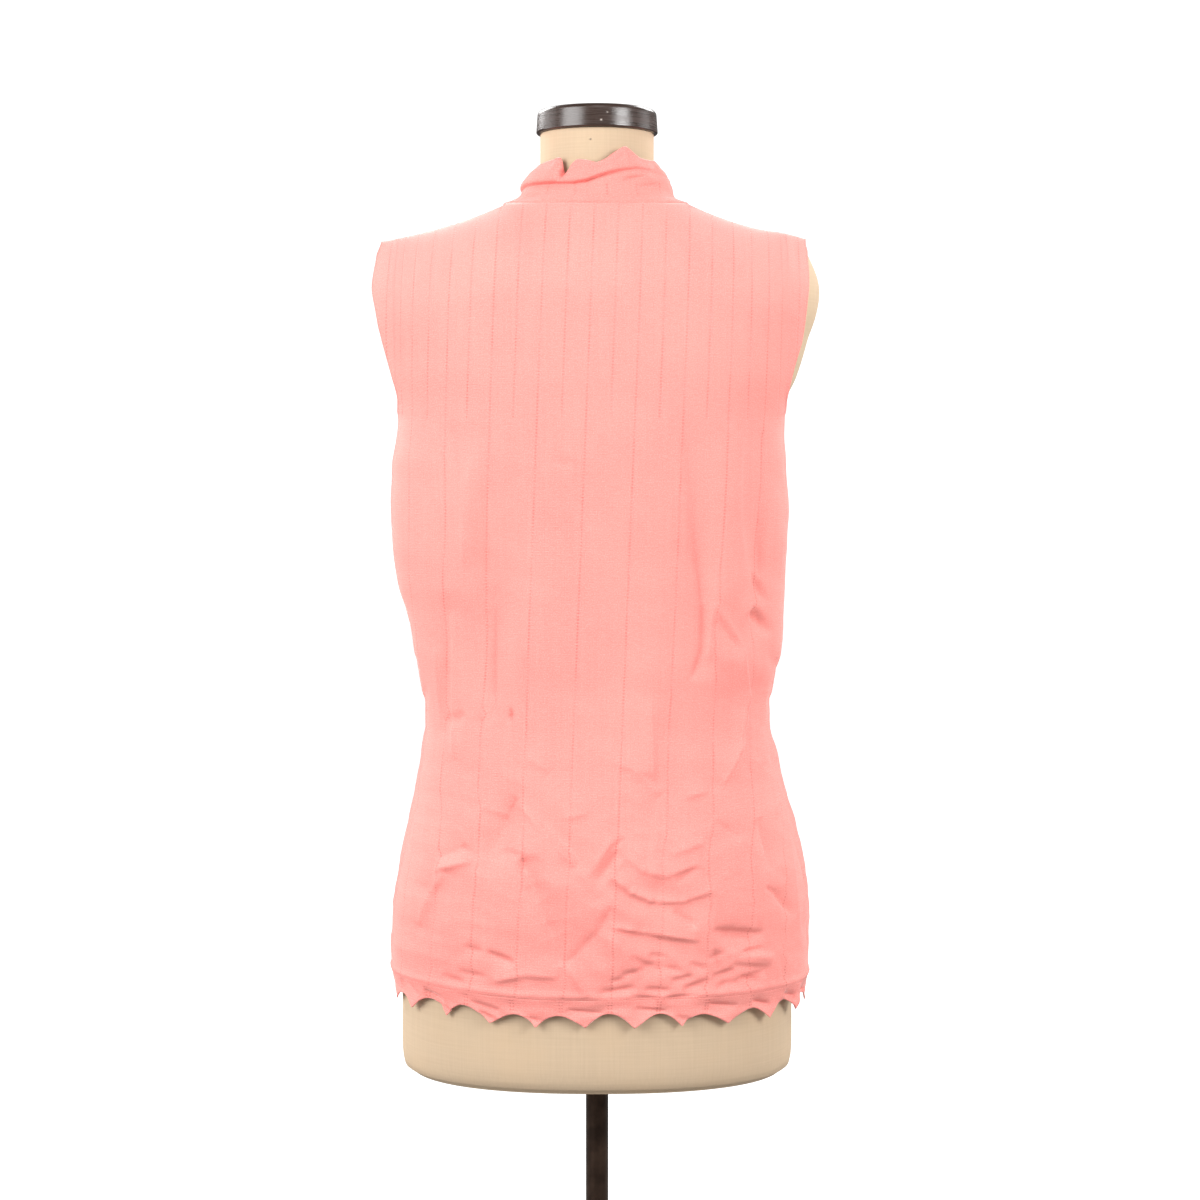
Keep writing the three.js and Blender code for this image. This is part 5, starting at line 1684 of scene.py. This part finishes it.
class SWEATER_OT_form(bpy.types.Operator):
    """Build the linen-covered torso and the pin in its neck"""
    bl_idname = "sweater.form"
    bl_label = "Dress form"

    def execute(self, context):
        torso = build_torso(linen_material(context.scene.sweater_form))
        carry(torso, "form_linen", "form_torso")
        head = [(0, -0.6), (0.8, -0.6), (0.8, 0.2), (0.5, 0.5), (0, 0.6)]
        pin = turned_piece("neck_pin", rounded(head, 0.3), pin_material(), PIN_SIDES)
        facing_back = np.array([(p.co.x, -p.co.z, p.co.y) for p in pin.data.vertices])
        facing_back += np.array([PIN_PLACE[0], -NECK_RADIUS + PIN_SUNK, PIN_PLACE[1]]) * MM
        pin.data.vertices.foreach_set("co", facing_back.ravel())
        carry(pin, "pole_metal")
        return {"FINISHED"}


class SWEATER_OT_cap(bpy.types.Operator):
    """Build the turned wooden cap on the neck, with its chips"""
    bl_idname = "sweater.cap"
    bl_label = "Neck cap"

    # Azimuth in degrees, height above the cap's bottom, width and depth of each chip.
    chips = [(-103, 17.4, 1.0, 0.35), (-99, 17.8, 1.3, 0.4), (-95, 18.0, 1.0, 0.35), (-91, 18.2, 0.9, 0.3),
             (-80, 18.0, 1.0, 0.35), (-75, 17.9, 1.3, 0.4), (-69, 17.6, 1.1, 0.35), (-80, 12.2, 0.9, 0.4),
             (-86, 5.6, 0.9, 0.4), (38, 17.6, 1.2, 0.4), (120, 1.0, 1.0, 0.35), (150, 17.4, 1.2, 0.4)]

    def execute(self, context):
        # Its side leans in a little, under a small bevel, and its top rises to the middle.
        wood = lacquered_wood_material("stained_beech_lathe_turned", context.scene.sweater_form, 0.9)
        low, high = CAP_LOW[2], CAP_HIGH[2]
        profile = [(0, low), (CAP_RADIUS - 1, low), (CAP_RADIUS, low + 1), (CAP_RADIUS - 1.2, low + 17.6),
                   (CAP_RADIUS - 3.2, low + 20), (CAP_RADIUS - 25, low + 22), (0, high)]
        soft = rounded(profile, 3)
        fine = []
        for start, end in zip(soft, soft[1:]):
            step = CAP_FINE if min(start[0], end[0]) > CAP_RADIUS - CAP_RIM else CAP_PLAIN
            pieces = max(1, round(np.linalg.norm(end - start) / step))
            fine += [lerp(start, end, i / pieces) for i in range(pieces)]
        fine.append(np.array(profile[-1], float))
        cap = turned_piece("neck_cap_wood", fine, wood, CAP_SIDES)
        self.chip(cap, low)
        carry(cap, "cap_wood", "neck_cap")
        return {"FINISHED"}

    def chip(self, cap, low):
        """Presses the chips in and stores how far the lacquer has gone."""
        points = np.array([v.co for v in cap.data.vertices]) / MM
        depth = np.zeros(len(points))
        for azimuth, height, width, deep in self.chips:
            turn = math.radians(azimuth)
            place = np.array([CAP_RADIUS * math.cos(turn), CAP_RADIUS * math.sin(turn), low + height])
            place[:2] *= 1 - CAP_SLANT * smooth(14, 19, height)
            away = np.linalg.norm((points - place) * np.array([0.7, 0.7, 1.2]), axis=1)
            depth = np.maximum(depth, deep * np.exp(-(away / width) ** 4))
        radius = np.maximum(np.linalg.norm(points[:, :2], axis=1), 1e-6)
        points[:, :2] *= (1 - depth / radius)[:, None]
        cap.data.vertices.foreach_set("co", (points * MM).ravel())
        layer = cap.data.attributes.new(CHIP_MAP, "FLOAT", "POINT")
        layer.data.foreach_set("value", smooth(0.15, 0.45, depth).astype(np.float32))
        cap.data.update()


class SWEATER_OT_stand(bpy.types.Operator):
    """Build the pole and the round base"""
    bl_idname = "sweater.stand"
    bl_label = "Stand"

    def execute(self, context):
        colours = context.scene.sweater_form
        tube = [(0, POLE_LOW[2]), (POLE_RADIUS, POLE_LOW[2]), (POLE_RADIUS, POLE_HIGH[2]), (0, POLE_HIGH[2])]
        pole = turned_piece("pole_tube", rounded(tube, 0.8, 3), steel_material(colours), POLE_SIDES)
        carry(pole, "pole_metal", "stand_pole")
        wood = lacquered_wood_material("stained_beech_base_turned", colours, 0.4)
        top = BASE_HIGH[2]
        disc = [(0, 0), (BASE_RADIUS - 2, 0), (BASE_RADIUS, 2), (BASE_RADIUS, top * 0.5),
                (BASE_RADIUS - 4, top * 0.75), (BASE_RADIUS - 13, top), (0, top)]
        base = turned_piece("base_disc", rounded(disc, 3), wood, BASE_SIDES)
        carry(base, "base_wood", "stand_base")
        return {"FINISHED"}


class SWEATER_OT_panels(bpy.types.Operator):
    """Build the knitted back and front, with their folds and creases"""
    bl_idname = "sweater.panels"
    bl_label = "Back and front"

    def execute(self, context):
        knit = context.scene.sweater_knit
        material = knit_material("pointelle_jersey_machine_knit", knit, panel_eyelets)
        for side in ("back", "front"):
            piece, across, heights = build_panel(side, knit, material)
            carry(piece, "knit", f"{side}_panel")
        return {"FINISHED"}


class SWEATER_OT_edging(bpy.types.Operator):
    """Build the scalloped edging of the hem"""
    bl_idname = "sweater.edging"
    bl_label = "Hem edging"

    def execute(self, context):
        knit = context.scene.sweater_knit
        material = knit_material("scalloped_edging_machine_knit", knit, edging_eyelets)
        for side in ("back", "front"):
            piece, columns = build_edging(side, knit, material)
            carry(piece, "knit", f"hem_edging_{side}")
        return {"FINISHED"}


class SWEATER_OT_collar(bpy.types.Operator):
    """Build the slumped mock-neck collar with its pointed edge"""
    bl_idname = "sweater.collar"
    bl_label = "Collar"

    def execute(self, context):
        knit = context.scene.sweater_knit
        material = knit_material("pointed_collar_machine_knit", knit, collar_eyelets, 0.55)
        piece = build_collar(knit, material)
        carry(piece, "knit", "collar")
        return {"FINISHED"}


class SWEATER_PT_panel(bpy.types.Panel):
    """Lists the sweater's operators and settings"""
    bl_idname = "SWEATER_PT_panel"
    bl_label = "Sweater"
    bl_space_type = "VIEW_3D"
    bl_region_type = "UI"
    bl_category = "Sweater"

    def draw(self, context):
        layout = self.layout
        for operator in OPERATORS:
            layout.operator(operator.bl_idname)
        scene = context.scene
        for group in (scene.sweater_knit, scene.sweater_form, scene.sweater_studio):
            box = layout.box()
            for name in type(group).__annotations__:
                box.prop(group, name)


OPERATORS = (
    SWEATER_OT_stage,
    SWEATER_OT_form,
    SWEATER_OT_cap,
    SWEATER_OT_stand,
    SWEATER_OT_panels,
    SWEATER_OT_edging,
    SWEATER_OT_collar,
)
SETTINGS = {
    "sweater_knit": KnitSettings,
    "sweater_form": FormSettings,
    "sweater_studio": StudioSettings,
}


def register():
    for group in SETTINGS.values():
        bpy.utils.register_class(group)
    for name, group in SETTINGS.items():
        setattr(bpy.types.Scene, name, bpy.props.PointerProperty(type=group))
    for made in (*OPERATORS, SWEATER_PT_panel):
        bpy.utils.register_class(made)


def unregister():
    for made in reversed((*OPERATORS, SWEATER_PT_panel)):
        bpy.utils.unregister_class(made)
    for name in SETTINGS:
        delattr(bpy.types.Scene, name)
    for group in reversed(SETTINGS.values()):
        bpy.utils.unregister_class(group)


def main():
    register()
    bpy.ops.sweater.stage()
    bpy.ops.sweater.form()
    bpy.ops.sweater.cap()
    bpy.ops.sweater.stand()
    bpy.ops.sweater.panels()
    bpy.ops.sweater.edging()
    bpy.ops.sweater.collar()


if __name__ == "__main__":
    main()
